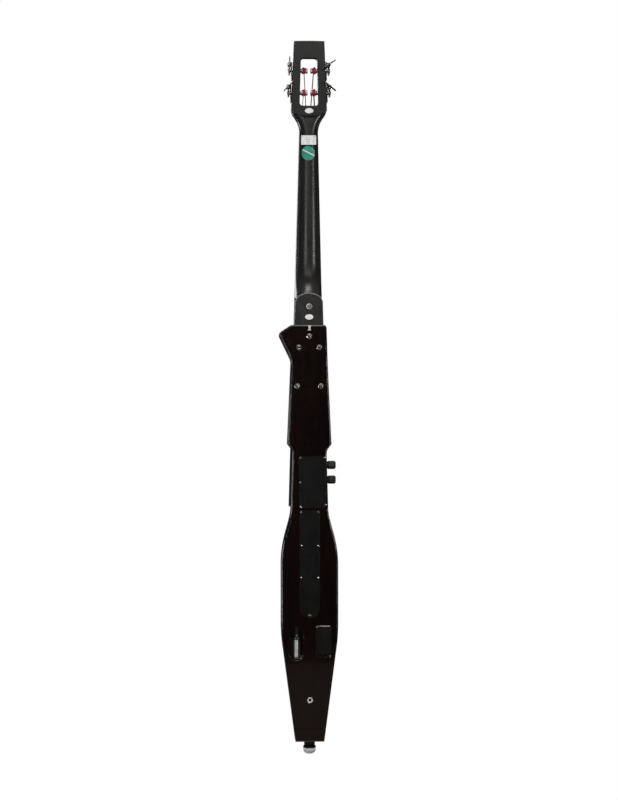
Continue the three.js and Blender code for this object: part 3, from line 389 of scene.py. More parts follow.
# place, target and size in metres, power in watts
LIGHTS = {
    "side_left": ((3.0, -0.5, 0.45), (0, 0, 0.5), (0.5, 1.0), 26),
    "side_right": ((-3.0, -0.6, 0.45), (0, 0, 0.5), (0.3, 1.0), 5),
    "strip_left": ((0.75, 4.7, 0.765), (0, 0, 1.1), (0.12, 0.64), 10),
    "strip_right": ((-2.5, 4.1, 0.765), (0, 0, 1.1), (0.22, 0.64), 24),
    "low_left": ((1.2, 1.9, 0.25), (0, 0, 0.25), (0.12, 0.5), 4),
    "low_right": ((-1.1, 2.0, 0.25), (0, 0, 0.25), (0.1, 0.5), 3),
    "top": ((0.2, 0.15, 3.3), (0, 0, 0.9), (1.2, 0.6), 9),
    "overhead": ((0.05, 0.95, 3.2), (0, 0, 1.05), (0.7, 0.6), 8),
    "behind_camera": ((0, 5.4, 2.4), (0, 0, 1.5), (3.0, 1.4), 20),
    "front_fill": ((1.6, -3.2, 1.9), (0, 0, 0.8), (1.6, 1.6), 26),
}


def linked(name, data):
    made = bpy.data.objects.new(name, data)
    bpy.context.scene.collection.objects.link(made)
    return made


def add_camera():
    data = bpy.data.cameras.new("camera")
    data.lens, data.sensor_width, data.sensor_fit = VIEW_LENS, 36, "AUTO"
    camera = linked("camera", data)
    towards = Vector((math.sin(VIEW_AZIMUTH), -math.cos(VIEW_AZIMUTH), 0))
    camera.location = Vector((0.0, 0.0, VIEW_HEIGHT)) + towards * VIEW_DISTANCE
    level = (-towards).to_track_quat("-Z", "Y").to_matrix()
    camera.rotation_euler = (level @ Matrix.Rotation(VIEW_ROLL, 3, "Z")).to_euler()
    bpy.context.scene.camera = camera


def add_light(name, place, target, size, power):
    data = bpy.data.lights.new(name, "AREA")
    data.shape, data.energy = "RECTANGLE", power
    data.size, data.size_y = size
    lamp = linked(name, data)
    lamp.location = place
    lamp.rotation_euler = (Vector(target) - Vector(place)).to_track_quat("-Z", "Y").to_euler()


def add_world():
    """A white room to the eye, even light for the colours, and dim in reflections but for the ceiling."""
    world = bpy.data.worlds.new("studio")
    bpy.context.scene.world = world
    world.use_nodes = True
    world.node_tree.nodes.clear()
    tree = Nodes(world.node_tree)
    direction = tree.node("SeparateXYZ", {0: tree.node("TexCoord").outputs["Generated"]})
    height = tree.node("MapRange", {"Value": direction.outputs["Z"], "From Min": 0.15, "From Max": 0.9,
                                    "To Min": ROOM_DIM, "To Max": ROOM_BRIGHT})
    seen, felt, fill = (tree.node("Background", {"Color": (1, 1, 1), "Strength": strength}).outputs[0]
                        for strength in (1.0, height.outputs["Result"], ROOM_FILL))
    ray = tree.node("LightPath").outputs
    unseen = tree.node("MixShader", {0: ray["Is Diffuse Ray"], 1: felt, 2: fill}).outputs[0]
    room = tree.node("MixShader", {0: ray["Is Camera Ray"], 1: unseen, 2: seen}).outputs[0]
    tree.node("OutputWorld", {0: room})


def floor_material():
    """White to the eye; to other rays its colour is a painted pool of light round the endpin, for the foot's
    reflections, and painted dark further out.
    """
    m = Material("floor_white", 0.9, Specular_IOR_Level=0.1)
    distance = m.node("VectorMath", {0: m.place}, operation="LENGTH").outputs["Value"]
    # painted pool of light: pale round the endpin and dark further out, so that the chrome foot reflects it
    m.color(m.ramp(distance, (0.08, (0.75, 0.75, 0.75)), (0.14, (0.15, 0.12, 0.1))))
    mix = m.node("MixShader", {0: m.node("LightPath").outputs["Is Camera Ray"], 1: m.shader.outputs[0],
                               2: m.node("Emission", {"Strength": 1.0}).outputs[0]})
    m.feed(m.nodes["Material Output"].inputs["Surface"], mix.outputs[0])
    return m.data


def add_floor():
    bm = bmesh.new()
    bmesh.ops.create_circle(bm, cap_ends=True, radius=1.6, segments=96)
    mesh = bpy.data.meshes.new("floor")
    bm.to_mesh(mesh)
    mesh.materials.append(floor_material())
    linked("floor", mesh)


bpy.context.scene.view_settings.view_transform = "Standard"
add_camera()
add_world()
add_floor()
for light_name, (light_place, light_target, light_size, light_power) in LIGHTS.items():
    add_light(light_name, light_place, light_target, light_size, light_power)

# ---------- meshes, drawn in millimetres ----------


class Path2D:
    """A flat outline made of lines, curves and arcs."""

    def __init__(self, x, y, steps=12):
        self.points = [(x, y)]
        self.steps = steps

    def line(self, *points):
        self.points += points
        return self

    def curve(self, *controls):
        """A Bezier curve from the last point; the last control is where it ends."""
        controls = [self.points[-1], *controls]
        degree = len(controls) - 1
        for step in range(1, self.steps + 1):
            t = step / self.steps
            weights = [math.comb(degree, k) * (1 - t) ** (degree - k) * t**k for k in range(degree + 1)]
            self.points.append(tuple(sum(w * c[axis] for w, c in zip(weights, controls)) for axis in (0, 1)))
        return self

    def arc(self, x, y, radius, start, end):
        for step in range(self.steps + 1):
            angle = math.radians(lerp(start, end, step / self.steps))
            self.points.append((x + radius * math.cos(angle), y + radius * math.sin(angle)))
        return self

    def mirrored(self):
        """The outline and its mirror image in x = 0, as one closed outline."""
        return tidy(self.points + [(-x, y) for x, y in reversed(self.points)])


def tidy(points, near=0.02):
    """The outline anticlockwise, without points that lie on each other."""
    kept = [p for i, p in enumerate(points) if math.dist(p, points[i - 1]) > near]
    area = sum(a[0] * b[1] - b[0] * a[1] for a, b in zip(kept, kept[1:] + kept[:1]))
    return kept if area > 0 else kept[::-1]


def inset(points, distance):
    """The outline moved inwards along its corners' bisectors; a negative distance grows it."""
    made = []
    for i, (x, y) in enumerate(points):
        before, after = points[i - 1], points[(i + 1) % len(points)]
        first = Vector((x - before[0], y - before[1])).normalized()
        second = Vector((after[0] - x, after[1] - y)).normalized()
        bisector = Vector((-first.y - second.y, first.x + second.x))
        scale = 2 * distance / max(bisector.length**2, 1.0)
        made.append((x + bisector.x * scale, y + bisector.y * scale))
    return made


def rounded_rect(x0, x1, y0, y1, radius, steps=6):
    path = Path2D(x1 - radius, y0, steps)
    path.arc(x1 - radius, y0 + radius, radius, -90, 0).arc(x1 - radius, y1 - radius, radius, 0, 90)
    path.arc(x0 + radius, y1 - radius, radius, 90, 180).arc(x0 + radius, y0 + radius, radius, 180, 270)
    return tidy(path.points)


def ring(count, wide, tall=None, x=0.0, y=0.0):
    """The corners of a regular polygon; with two radii, points round an ellipse."""
    turns = [2 * math.pi * k / count for k in range(count)]
    return [(x + wide * math.cos(a), y + (tall or wide) * math.sin(a)) for a in turns]


def circle(x, y, radius, steps=32):
    return tidy(Path2D(x + radius, y, steps).arc(x, y, radius, 0, 360).points)


def upright_slot(x, half, low, high, steps=16):
    path = Path2D(x + half, high - half, steps)
    return tidy(path.arc(x, high - half, half, 0, 180).arc(x, low + half, half, 180, 360).points)


def skin(rings):
    """A closed surface over rings of points, the first and last of them capped."""
    bm = bmesh.new()
    rows = [[bm.verts.new(p) for p in points] for points in rings]
    for low, high in zip(rows, rows[1:]):
        for j in range(len(low)):
            k = (j + 1) % len(low)
            bm.faces.new((low[j], low[k], high[k], high[j]))
    bm.faces.new(rows[0][::-1])
    bm.faces.new(rows[-1])
    bmesh.ops.recalc_face_normals(bm, faces=bm.faces)
    return bm


def placer(axis):
    """A function that puts a flat point and a height into space: the outline lies across the axis."""
    orders = {"x": lambda u, v, h: (h, u, v), "y": lambda u, v, h: (u, h, v), "z": lambda u, v, h: (u, v, h)}
    return orders[axis]


def quarter(segments):
    """Angles from 0 to 90 degrees."""
    return [math.pi / 2 * k / segments for k in range(segments + 1)]


def prism(points, low, high, axis="y", round_low=0.0, round_high=0.0, segments=4):
    """An extruded outline, with its two rims rounded."""
    place = placer(axis)

    def rim(level, inwards, radius):
        angles = quarter(segments) if radius else [math.pi / 2]
        return [[place(u, v, level + inwards * radius * (1 - math.cos(a)))
                 for u, v in inset(points, radius * (1 - math.sin(a)))] for a in angles]

    return skin(rim(low, 1, round_low) + rim(high, -1, round_high)[::-1])


def recess(points, floor, face, lip):
    """A cutting tool along Y for a hole whose rim is rounded over where it meets a face."""
    rim = [(lip * (1 - math.cos(a)), face - lip + lip * math.sin(a)) for a in quarter(4)]
    levels = [(0.0, floor), *rim, (lip, face + 6)]
    return skin([[(u, level, v) for u, v in inset(points, -grown)] for grown, level in levels])


def eased(points, radius, least=12, steps=3):
    """The outline with its sharp corners rounded."""
    made = []
    for i, here in enumerate(points):
        here = Vector(here)
        before, after = Vector(points[i - 1]) - here, Vector(points[(i + 1) % len(points)]) - here
        turn = math.degrees(before.angle(-after, 0))
        if turn < least or min(before.length, after.length) < 2 * radius:
            made.append(tuple(here))
            continue
        reach = min(radius, radius * math.tan(math.radians(turn) / 2) * 1.6)
        enter, leave = here + before.normalized() * reach, here + after.normalized() * reach
        made += Path2D(*enter, steps).curve(tuple(here), tuple(leave)).points
    return tidy(made)


ON_AXIS = 1e-6


def turned(profile, axis="z", at=(0, 0, 0), segments=40):
    """A turned piece from points (radius, height). A profile that leaves the axis is a closed loop."""
    place = placer(axis)
    bm = bmesh.new()
    rows = []
    for radius, height in profile:
        points = ring(segments, radius) if radius >= ON_AXIS else [(0, 0)]
        rows.append([bm.verts.new(Vector(place(u, v, height)) + Vector(at)) for u, v in points])
    loop = profile[0][0] >= ON_AXIS
    pairs = list(zip(rows, rows[1:])) + ([(rows[-1], rows[0])] if loop else [])
    for low, high in pairs:
        for j in range(segments):
            k = (j + 1) % segments
            corners = [low[j % len(low)], low[k % len(low)], high[k % len(high)], high[j % len(high)]]
            unique = list(dict.fromkeys(corners))
            if len(unique) > 2:
                bm.faces.new(unique)
    bmesh.ops.recalc_face_normals(bm, faces=bm.faces)
    return bm


def rod(radius, low, high, axis="z", at=(0, 0, 0), segments=32, chamfer=0.0):
    side = [(radius, low + chamfer), (radius, high - chamfer)]
    if chamfer:
        side = [(radius - chamfer, low), *side, (radius - chamfer, high)]
    return turned([(0, low), *side, (0, high)], axis, at, segments)


def knurl(bm, centre, axes, beyond, ridges, depth, low=-1000, high=1000):
    """Cuts ridges along a turned grip. Two axes lie across it, and only points past a radius move."""
    u, v = axes
    for vert in bm.verts:
        reach = vert.co[u] - centre[u], vert.co[v] - centre[v]
        if math.hypot(*reach) > beyond and low < vert.co[3 - u - v] < high:
            scale = 1 - depth * (0.5 + 0.5 * math.cos(math.atan2(reach[1], reach[0]) * ridges))
            vert.co[u], vert.co[v] = centre[u] + reach[0] * scale, centre[v] + reach[1] * scale


def smoothed(points, steps=6):
    """A Catmull-Rom curve through points in space."""
    path = [Vector(p) for p in points]
    ends = [path[0] * 2 - path[1], *path, path[-1] * 2 - path[-2]]
    made = []
    for a, b, c, d in zip(ends, ends[1:], ends[2:], ends[3:]):
        for step in range(steps):
            t = step / steps
            made.append(0.5 * (2 * b + (c - a) * t + (2 * a - 5 * b + 4 * c - d) * t**2
                               + (3 * b - a - 3 * c + d) * t**3))
    return made + [path[-1]]


def sweep(points, radius, sides=12):
    """A round tube along points. The radius may be a number or a function of the share of the way."""
    path = [Vector(p) for p in points]
    size = radius if callable(radius) else (lambda share: radius)
    across = None
    rings = []
    for i, here in enumerate(path):
        along = (path[min(i + 1, len(path) - 1)] - path[max(i - 1, 0)]).normalized()
        if across is None:
            across = along.orthogonal().normalized()
        across = (across - along * across.dot(along)).normalized()
        up = along.cross(across)
        rings.append([here + across * u + up * v for u, v in ring(sides, size(i / (len(path) - 1)))])
    return skin(rings)


def box(x0, x1, y0, y1, z0, z1, edge=0.0):
    """A block; with an edge, its twelve edges are rounded off."""
    bm = skin([[(x0, y0, z), (x1, y0, z), (x1, y1, z), (x0, y1, z)] for z in (z0, z1)])
    if edge:
        bmesh.ops.bevel(bm, geom=bm.edges[:], offset=edge, segments=3, profile=0.5, affect="EDGES")
    return bm


def together(*meshes):
    """Several loose shells as one mesh."""
    whole = bmesh.new()
    for part in meshes:
        spare = bpy.data.meshes.new("part")
        part.to_mesh(spare)
        whole.from_mesh(spare)
        bpy.data.meshes.remove(spare)
        part.free()
    return whole


def moved(bm, matrix):
    bm.transform(matrix)
    return bm


def boolean(bm, operation, tools):
    """Cuts or joins solids, one after another."""
    target = linked("target", bpy.data.meshes.new("target"))
    bm.to_mesh(target.data)
    cutters = []
    for tool in tools:
        cutter = linked("tool", bpy.data.meshes.new("tool"))
        tool.to_mesh(cutter.data)
        tool.free()
        step = target.modifiers.new("boolean", "BOOLEAN")
        step.operation, step.solver, step.object = operation, "EXACT", cutter
        cutters.append(cutter)
    bpy.context.view_layer.update()
    whole = target.evaluated_get(bpy.context.evaluated_depsgraph_get())
    bm.clear()
    bm.from_mesh(whole.to_mesh())
    whole.to_mesh_clear()
    for spare in (target, *cutters):
        data = spare.data
        bpy.data.objects.remove(spare)
        bpy.data.meshes.remove(data)
    bmesh.ops.remove_doubles(bm, verts=bm.verts, dist=0.002)
    bmesh.ops.dissolve_degenerate(bm, edges=bm.edges, dist=0.002)
    return bm


def cut(bm, *tools):
    return boolean(bm, "DIFFERENCE", tools)


def join(bm, *tools):
    return boolean(bm, "UNION", tools)


def common(bm, tool):
    return boolean(bm, "INTERSECT", [tool])


def piece(name, bm, material, slot=None, body=ROOT, replaces=None, sharp=35, frame=None):
    """Turns a mesh in millimetres into a piece of the object that rides on a body."""
    if frame is not None:
        bm.transform(frame)
    bm.transform(Matrix.Diagonal((MM, MM, MM, 1)))
    mesh = bpy.data.meshes.new(name)
    bm.to_mesh(mesh)
    bm.free()
    mesh.materials.append(material)
    made = linked(name, mesh)
    shade(made, sharp)
    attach(made, body)
    if replaces:
        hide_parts(replaces)
    return made


def neck_piece(*values, **choices):
    """A piece drawn in the neck's frame."""
    return piece(*values, **choices, frame=NECK_FRAME)


def shade(made, sharp):
    """Smooth shading that stops at edges sharper than an angle and leaves broad faces flat."""
    mesh = made.data
    mesh.polygons.foreach_set("use_smooth", [True] * len(mesh.polygons))
    mesh.set_sharp_from_angle(angle=math.radians(sharp))
    weights = made.modifiers.new("flat faces", "WEIGHTED_NORMAL")
    weights.keep_sharp, weights.weight = True, 100

# ---------- body and end block ----------

EDGE = 3.5  # radius of the body's rounded edges
KEY_LOW, KEY_HIGH = 953.5, 965
COVER_REBATE = 1.5
FERRULE_DEPTH = 2.2
CONTROL_CAVITY = (-34.5, 21, -3, 560, 665)  # left, right, floor, low, high
CHANNEL = (17, 322, 545, 11)  # half width, low, high, floor
JACK_LOW, JACK_HIGH, JACK_FLOOR = 213, 287, 8
JACK_WALL = (262, 264.4)  # the metal that the jack's bush goes through
BATTERY_LOW, BATTERY_HIGH = 219, 292
CASE_HALF, CASE_LOW, CASE_HIGH, CASE_FLOOR = 16, 223, 288, 5
KNOB_Y = 11
KNOB_HEIGHTS = {"volume": 651, "tone": 618}
ROD_RADIUS = 5
SOCKET_TUBE = 8
SOCKET_TOP = 75
CLAMP_Z = 45
CLAMP_RADIUS = 3
ANCHOR_Z = 68
PAST = BACK + 6  # cutting tools end here, clear of the back


def body_outline():
    path = Path2D(-32.3, BODY_BOTTOM, 14)
    path.line((32.3, BODY_BOTTOM), (61.6, 252)).curve((63.6, 268), (64, 300)).line((64, 430))
    path.curve((63, 490), (43, 520), (41.8, 553)).line((38.4, 676)).curve((38.5, 684), (42.5, 689))
    path.line((49.4, 698), (41.3, 878)).curve((41, 886), (44.5, 893)).line((66.5, 939))
    path.curve((69.7, 948), (62, 952.5)).line((41, BODY_TOP), (-31.5, BODY_TOP))
    path.curve((-38.5, BODY_TOP), (-38.9, BODY_TOP - 9)).line((-41.1, 880), (-49.4, 698), (-42.5, 689))
    path.curve((-38.5, 684), (-38.4, 676)).line((-41.8, 553)).curve((-43, 520), (-63, 490), (-64, 430))
    path.line((-64, 300)).curve((-63.6, 268), (-61.6, 252))
    return tidy(path.points)


def tongue_outline(margin, top):
    low = TONGUE_BOTTOM - margin
    half_low, half_top = (board_half_width(rise_at(z)) - 0.5 + margin for z in (low, top))
    return [(-half_low, low), (half_low, low), (half_top, top), (-half_top, top)]


def heel_key_outline(margin):
    half, waist, centre = 4 + margin, 2 + margin, (KEY_LOW + KEY_HIGH) / 2
    low, high = KEY_LOW - margin, KEY_HIGH + margin
    return [(-half, low), (half, low), (waist, centre), (half, high), (-half, high), (-waist, centre)]


def control_cover_outline(margin, past=0.0):
    right, top, low = 24.5 + margin, 671 + margin, 554 - margin
    left = [(-34 - past, low), (-40.6 - past, low + 10)]
    return tidy([(-37.8 - past, top), (right, top), (right, low), *left])


def channel_cover_outline(margin):
    half, low = 22.8 + margin, 308 + 22.8
    path = Path2D(half, 549.5 + margin, 24).line((-half, 549.5 + margin))
    return tidy(path.arc(0, low, half, 180, 360).points)


def body_cuts():
    left, right, floor, low, high = CONTROL_CAVITY
    half, channel_low, channel_high, channel_floor = CHANNEL
    cover_floor = BACK - COVER_REBATE
    tools = [
        prism(tongue_outline(GAP, BODY_TOP + 10), FRONT - 5, POCKET_BACK + GAP),
        prism(heel_key_outline(GAP), BACK - 6.3, PAST),
        box(left, right, floor, PAST, low, high),
        prism(upright_slot(0, half, channel_low, channel_high), channel_floor, PAST),
        rod(5, channel_high - 10, low + 5, "z", (0, 20, 0)),
        prism(control_cover_outline(GAP, 10), cover_floor, PAST),
        prism(channel_cover_outline(GAP), cover_floor, PAST),
        recess(upright_slot(JACK_X, 15.3, JACK_LOW, JACK_HIGH, 24), JACK_FLOOR, BACK, 1.2),
        rod(8.3, JACK_HIGH - 10, JACK_HIGH + 29, "z", (JACK_X, JACK_Y, 0)),
        box(BATTERY_X - CASE_HALF - GAP, BATTERY_X + CASE_HALF + GAP, CASE_FLOOR - GAP, PAST,
            CASE_LOW - GAP, CASE_HIGH + GAP),
        rod(ROD_RADIUS + 0.7, BODY_BOTTOM - 5, 372, "z"),
        rod(SOCKET_TUBE + GAP, BODY_BOTTOM - 5, SOCKET_TOP + GAP, "z"),
        rod(CLAMP_RADIUS + GAP, FRONT - 5, 1 - SOCKET_TUBE, "y", (0, 0, CLAMP_Z)),
        rod(5.1, BACK - 14, PAST, "y", (0, 0, INSERT_Z)),
        rod(2.5, FRONT - 5, channel_floor + 3, "y", (-12, 0, BRIDGE_Z - 20)),
        rod(CLAMP_RADIUS + GAP, FRONT - 5, FRONT + 14, "y", (0, 0, ANCHOR_Z)),
    ]
    for z in KNOB_HEIGHTS.values():
        tools.append(rod(4, -60, left + 2, "x", (0, KNOB_Y, z)))
    for x, z in NECK_BOLTS:
        tools.append(rod(3, 0, PAST, "y", (x, 0, z)))
        tools.append(recess(circle(x, z, 6.8), BACK - FERRULE_DEPTH - GAP, BACK, 0.3))
    return tools


def seam_groove():
    """Slots all round the joint of the body and the end block."""
    seam, deep, wide = END_BLOCK_TOP, 2.2, 0.9
    half = lerp(32.3, 61.6, (seam - BODY_BOTTOM) / (252 - BODY_BOTTOM))
    low, high = seam - wide, seam + wide
    return [box(-60, 60, BACK - deep, PAST, low, high), box(-60, 60, FRONT - 6, FRONT + deep, low, high),
            box(half - deep, 60, -40, 40, low, high), box(-60, deep - half, -40, 40, low, high)]


def make_body():
    whole = cut(prism(body_outline(), FRONT, BACK, "y", EDGE, EDGE, 5), *body_cuts(), *seam_groove())
    block = whole.copy()
    seam = END_BLOCK_TOP
    upper = cut(whole, box(-100, 100, -60, 60, 0, seam + 0.02))
    lower = cut(block, box(-100, 100, -60, 60, seam - 0.02, 1000))
    piece("body_shell", upper, LACQUER, "lacquer", replaces="body", sharp=28)
    piece("end_block_shell", lower, LACQUER, "lacquer", replaces="end_block", sharp=28)
    piece("heel_key_inlay", prism(heel_key_outline(0), BACK - 6, BACK + 0.4, "y", 0, 0.25, 2), ZINC, "chrome",
          replaces="heel_key")


# ---------- neck ----------

HEAD_FRONT = -1
HEAD_HALF_WIDTH = 40.2
HEAD_TOP_HALF_WIDTH = 34
HEEL_HALF_WIDTH = 31
# rise from the nut and depth of the neck there
NECK_DEPTHS = [(8, 15), (-20, 16.6), (-60, 17.2), (-200, 20), (-335, 23.2), (-360, 25.5), (-376, 30),
               (-388, 36.5), (-398, 44), (-406, 51.5), (-416, 54)]
SLOT_LOW, SLOT_HIGH = (21.3, 16), (18.6, 121.5)  # half width and rise
SHOULDER_LOW = rise_at(1403)


def head_half_width(rise):
    return lerp(HEAD_HALF_WIDTH, HEAD_TOP_HALF_WIDTH, (rise - 5) / (HEAD_TOP - 5))


def eased_depth(rise):
    """The neck's depth between its stations, by a smooth curve through them."""
    stations = sorted(NECK_DEPTHS)
    for i, ((r0, d0), (r1, d1)) in enumerate(zip(stations, stations[1:])):
        if r0 <= rise <= r1:
            before, after = stations[max(i - 1, 0)], stations[min(i + 2, len(stations) - 1)]
            slope0 = (d1 - before[1]) / (r1 - before[0])
            slope1 = (after[1] - d0) / (after[0] - r0)
            t, run = (rise - r0) / (r1 - r0), r1 - r0
            return (d0 * (2 * t**3 - 3 * t**2 + 1) + slope0 * run * (t**3 - 2 * t**2 + t)
                    + d1 * (3 * t**2 - 2 * t**3) + slope1 * run * (t**3 - t**2))
    return stations[-1][1]


def shoulder_half_width(rise):
    """Half the neck's width, flaring into the head above the nut."""
    path = Path2D(board_half_width(SHOULDER_LOW), SHOULDER_LOW, 20)
    flare = path.curve((24, -13), (40, -8), (40, 4)).points
    for (x0, r0), (x1, r1) in zip(flare, flare[1:]):
        if r0 <= rise <= r1:
            return lerp(x0, x1, (rise - r0) / (r1 - r0))
    return board_half_width(rise) if rise < SHOULDER_LOW else flare[-1][0]


def neck_section(rise, steps=32):
    half, depth = shoulder_half_width(rise), eased_depth(rise)
    square = max(0.0, min(1.0, 1 - rise / SHOULDER_LOW))
    points = []
    for i in range(steps + 1):
        angle = math.pi * i / steps
        across = math.copysign(abs(math.cos(angle)) ** lerp(0.8, 0.55, square), math.cos(angle))
        height = math.sin(angle) ** lerp(0.85, 0.65, square) if 0 < i < steps else 0.0
        points.append((half * across, depth * height, rise))
    return points


def head_block_outline():
    wide, top, corner = HEAD_HALF_WIDTH, HEAD_TOP_HALF_WIDTH, HEAD_TOP - 0.6
    path = Path2D(-wide, 5, 8).curve((-36, -3), (-20, -6)).curve((0, -8.5), (20, -6))
    path.curve((36, -3), (wide, 5)).line((top, corner)).curve((0, HEAD_TOP + 0.6), (-top, corner))
    return eased(tidy(path.points), 1.5, least=30)


def slot_outline():
    (low_half, low), (high_half, high) = SLOT_LOW, SLOT_HIGH
    corners = [(-low_half, low), (low_half, low), (high_half, high), (-high_half, high)]
    return eased(corners, 8, least=20, steps=8)


def heel_outline():
    half, side = board_half_width(rise_at(TONGUE_BOTTOM)) - 0.5, HEEL_TOP - 20
    path = Path2D(half, TONGUE_BOTTOM, 14).line((HEEL_HALF_WIDTH, side))
    return path.curve((HEEL_HALF_WIDTH - 2, HEEL_TOP - 5), (14, HEEL_TOP), (0, HEEL_TOP)).mirrored()


def heel_profile():
    def glue(z):
        return (NECK_FRAME @ Vector((0, 0, rise_at(z)))).y
    step = BODY_TOP + 0.5
    return tidy([(glue(HEEL_TOP) - 0.2, HEEL_TOP), (glue(TONGUE_BOTTOM), TONGUE_BOTTOM),
                 (POCKET_BACK, TONGUE_BOTTOM), (POCKET_BACK, step), (HEEL_BACK, step), (HEEL_BACK, HEEL_TOP)])


def make_neck():
    rises = [4, 2.5, *range(0, -48, -2), *range(-48, -336, -8), *range(-336, -417, -2)]
    shaft = moved(skin([neck_section(r) for r in rises]), NECK_FRAME)
    head = prism(head_block_outline(), HEAD_FRONT, HEAD_THICKNESS, "y", 0.8, 1.4, 3)
    head = moved(cut(head, box(-60, 60, -20, 0.03, -20, 0)), NECK_FRAME)
    heel = common(prism(heel_outline(), -90, HEEL_BACK, "y", 0, 1.8), prism(heel_profile(), -40, 40, "x"))
    cutters = [moved(tool, NECK_FRAME) for tool in (
        recess(slot_outline(), -20, HEAD_THICKNESS, 1.6),
        rod(5, -60, 60, "x", (0, POST_DEPTH, 45)),
        rod(5, -60, 60, "x", (0, POST_DEPTH, 94)),
        box(-3.4, 3.4, -2, 8, -560, -14))]
    cutters += [rod(2.4, POCKET_BACK - 20, POCKET_BACK + 5, "y", (x, 0, z)) for x, z in NECK_BOLTS]
    cutters += [rod(3, HEEL_BACK - 30, HEEL_BACK + 5, "y", (0, 0, HEEL_BOLT_Z)),
                recess(circle(0, HEEL_BOLT_Z, 7.3), HEEL_BACK - FERRULE_DEPTH, HEEL_BACK, 0.3)]
    whole = cut(join(shaft, head, heel), *cutters)
    piece("neck_shell", whole, SATIN_BLACK, "satin_black", replaces="neck", sharp=40)
    # a thin grey bead along the heel's arch: a painted highlight where the edge would catch the light
    arch = sorted((x * 0.985, HEEL_BACK - 0.5, z - 0.5) for x, z in heel_outline() if z > HEEL_TOP - 26)
    bead = sweep(arch, 0.95, 10)
    piece("heel_edge", bead, HEEL_HIGHLIGHT_PAINT)


make_body()
make_neck()

# ---------- fingerboard, nut, bridge, tailpiece ----------

BOARD_EDGE = (6.5, 5.5)  # thickness of the fingerboard's edge at the nut and at its end
NUT_LENGTH = 6
NUT_LIFT = 1.4
STRING_AT_BRIDGE_Y = -124
BRIDGE_FOOT_Y = FRONT - 2.8
# for each string from E to G: its radius, places across the nut and the bridge, and the rise of its post
STRING_RADII = (1.4, 1.15, 0.9, 0.7)
STRING_AT_NUT = (-15, -5, 5, 15)
STRING_AT_BRIDGE = (-39, -13, 13, 39)
STRING_POSTS = (45, 94, 94, 45)
TAIL_TOP, TAIL_TOP_Y = 245, -80
TAIL_BOTTOM, TAIL_BOTTOM_Y = 98, -43.5
TAIL_LENGTH = math.hypot(TAIL_BOTTOM_Y - TAIL_TOP_Y, TAIL_TOP - TAIL_BOTTOM)
TAIL_TILT = math.atan2(TAIL_BOTTOM_Y - TAIL_TOP_Y, TAIL_TOP - TAIL_BOTTOM)
TAIL_FRAME = Matrix.Translation((0, TAIL_TOP_Y, TAIL_TOP)) @ Matrix.Rotation(TAIL_TILT, 4, "X")


def on_neck(x, depth, rise):
    return NECK_FRAME @ Vector((x, depth, rise))


def on_tail(x, y, z):
    return TAIL_FRAME @ Vector((x, y, z))


def tail_x(index):
    return (index - 1.5) * 18


def nut_crown(x):
    return -(BOARD_EDGE[0] + sag(NUT_HALF_WIDTH) + NUT_LIFT) + sag(x)


def bridge_crown(x):
    return STRING_AT_BRIDGE_Y + 1.7 + sag(x)


def board_section(rise, steps=28, round_off=1.2):
    """The fingerboard's section: a flat glue side, rounded edges and a crowned playing side."""
    half = board_half_width(rise)
    edge = lerp(*BOARD_EDGE, rise / rise_at(BOARD_END_Z))
    across = [half * (1 - 2 * i / steps) for i in range(steps + 1)]
    crown = [(x, sag(x) - sag(half) - edge) for x in across if abs(x) < half - round_off]
    rim = [(half, round_off - edge), (half - round_off * 0.3, round_off * 0.3 - edge)]
    other_rim = [(-x, y) for x, y in reversed(rim)]
    return [(x, y, rise) for x, y in [(-half, -GAP), (half, -GAP), *rim, *crown, *other_rim]]


def make_fingerboard():
    end = rise_at(BOARD_END_Z)
    rises = [-GAP - 0.01, *(end * i / 12 for i in range(1, 12)), end + 0.6]
    rings = [board_section(rise) for rise in rises]
    rings.append([(x * 0.985, lerp(y, -2.5, 0.06), end) for x, y, _ in rings[-1]])
    neck_piece("fingerboard_blank", skin(rings), EBONY, "ebony", replaces="fingerboard")


def make_nut():
    half, base = NUT_HALF_WIDTH, HEAD_FRONT - GAP
    crown = [(x, nut_crown(x)) for x in (half * (1 - 2 * i / 40) for i in range(41))]
    blank = prism(tidy([(-half, base), (half, base), *crown]), GAP, NUT_LENGTH, "z", 0.5, 0.9, 3)
    grooves = [rod(r + 0.05, -5, 12, "z", (x, nut_crown(x) - r * 0.15, 0), 16)
               for r, x in zip(STRING_RADII, STRING_AT_NUT)]
    neck_piece("nut_blank", cut(blank, *grooves), BONE, "bone", replaces="nut")


def bridge_outline():
    foot = BRIDGE_FOOT_Y
    path = Path2D(0, foot - 24, 16).curve((16, foot - 24), (30, foot - 18), (34, foot)).line((58, foot))
    path.line((58, foot - 4)).curve((48, foot - 8), (50, foot - 24), (36, foot - 30))
    path.curve((31, foot - 34), (34, foot - 44), (42, foot - 52))
    path.curve((47, foot - 58), (47, foot - 66), (46, bridge_crown(46)))
    path.line(*[(x, bridge_crown(x)) for x in range(43, 0, -3)])
    return path.mirrored()


def bridge_half_thickness(y):
    return lerp(10, 2.2, (y - BRIDGE_FOOT_Y) / (STRING_AT_BRIDGE_Y - BRIDGE_FOOT_Y))


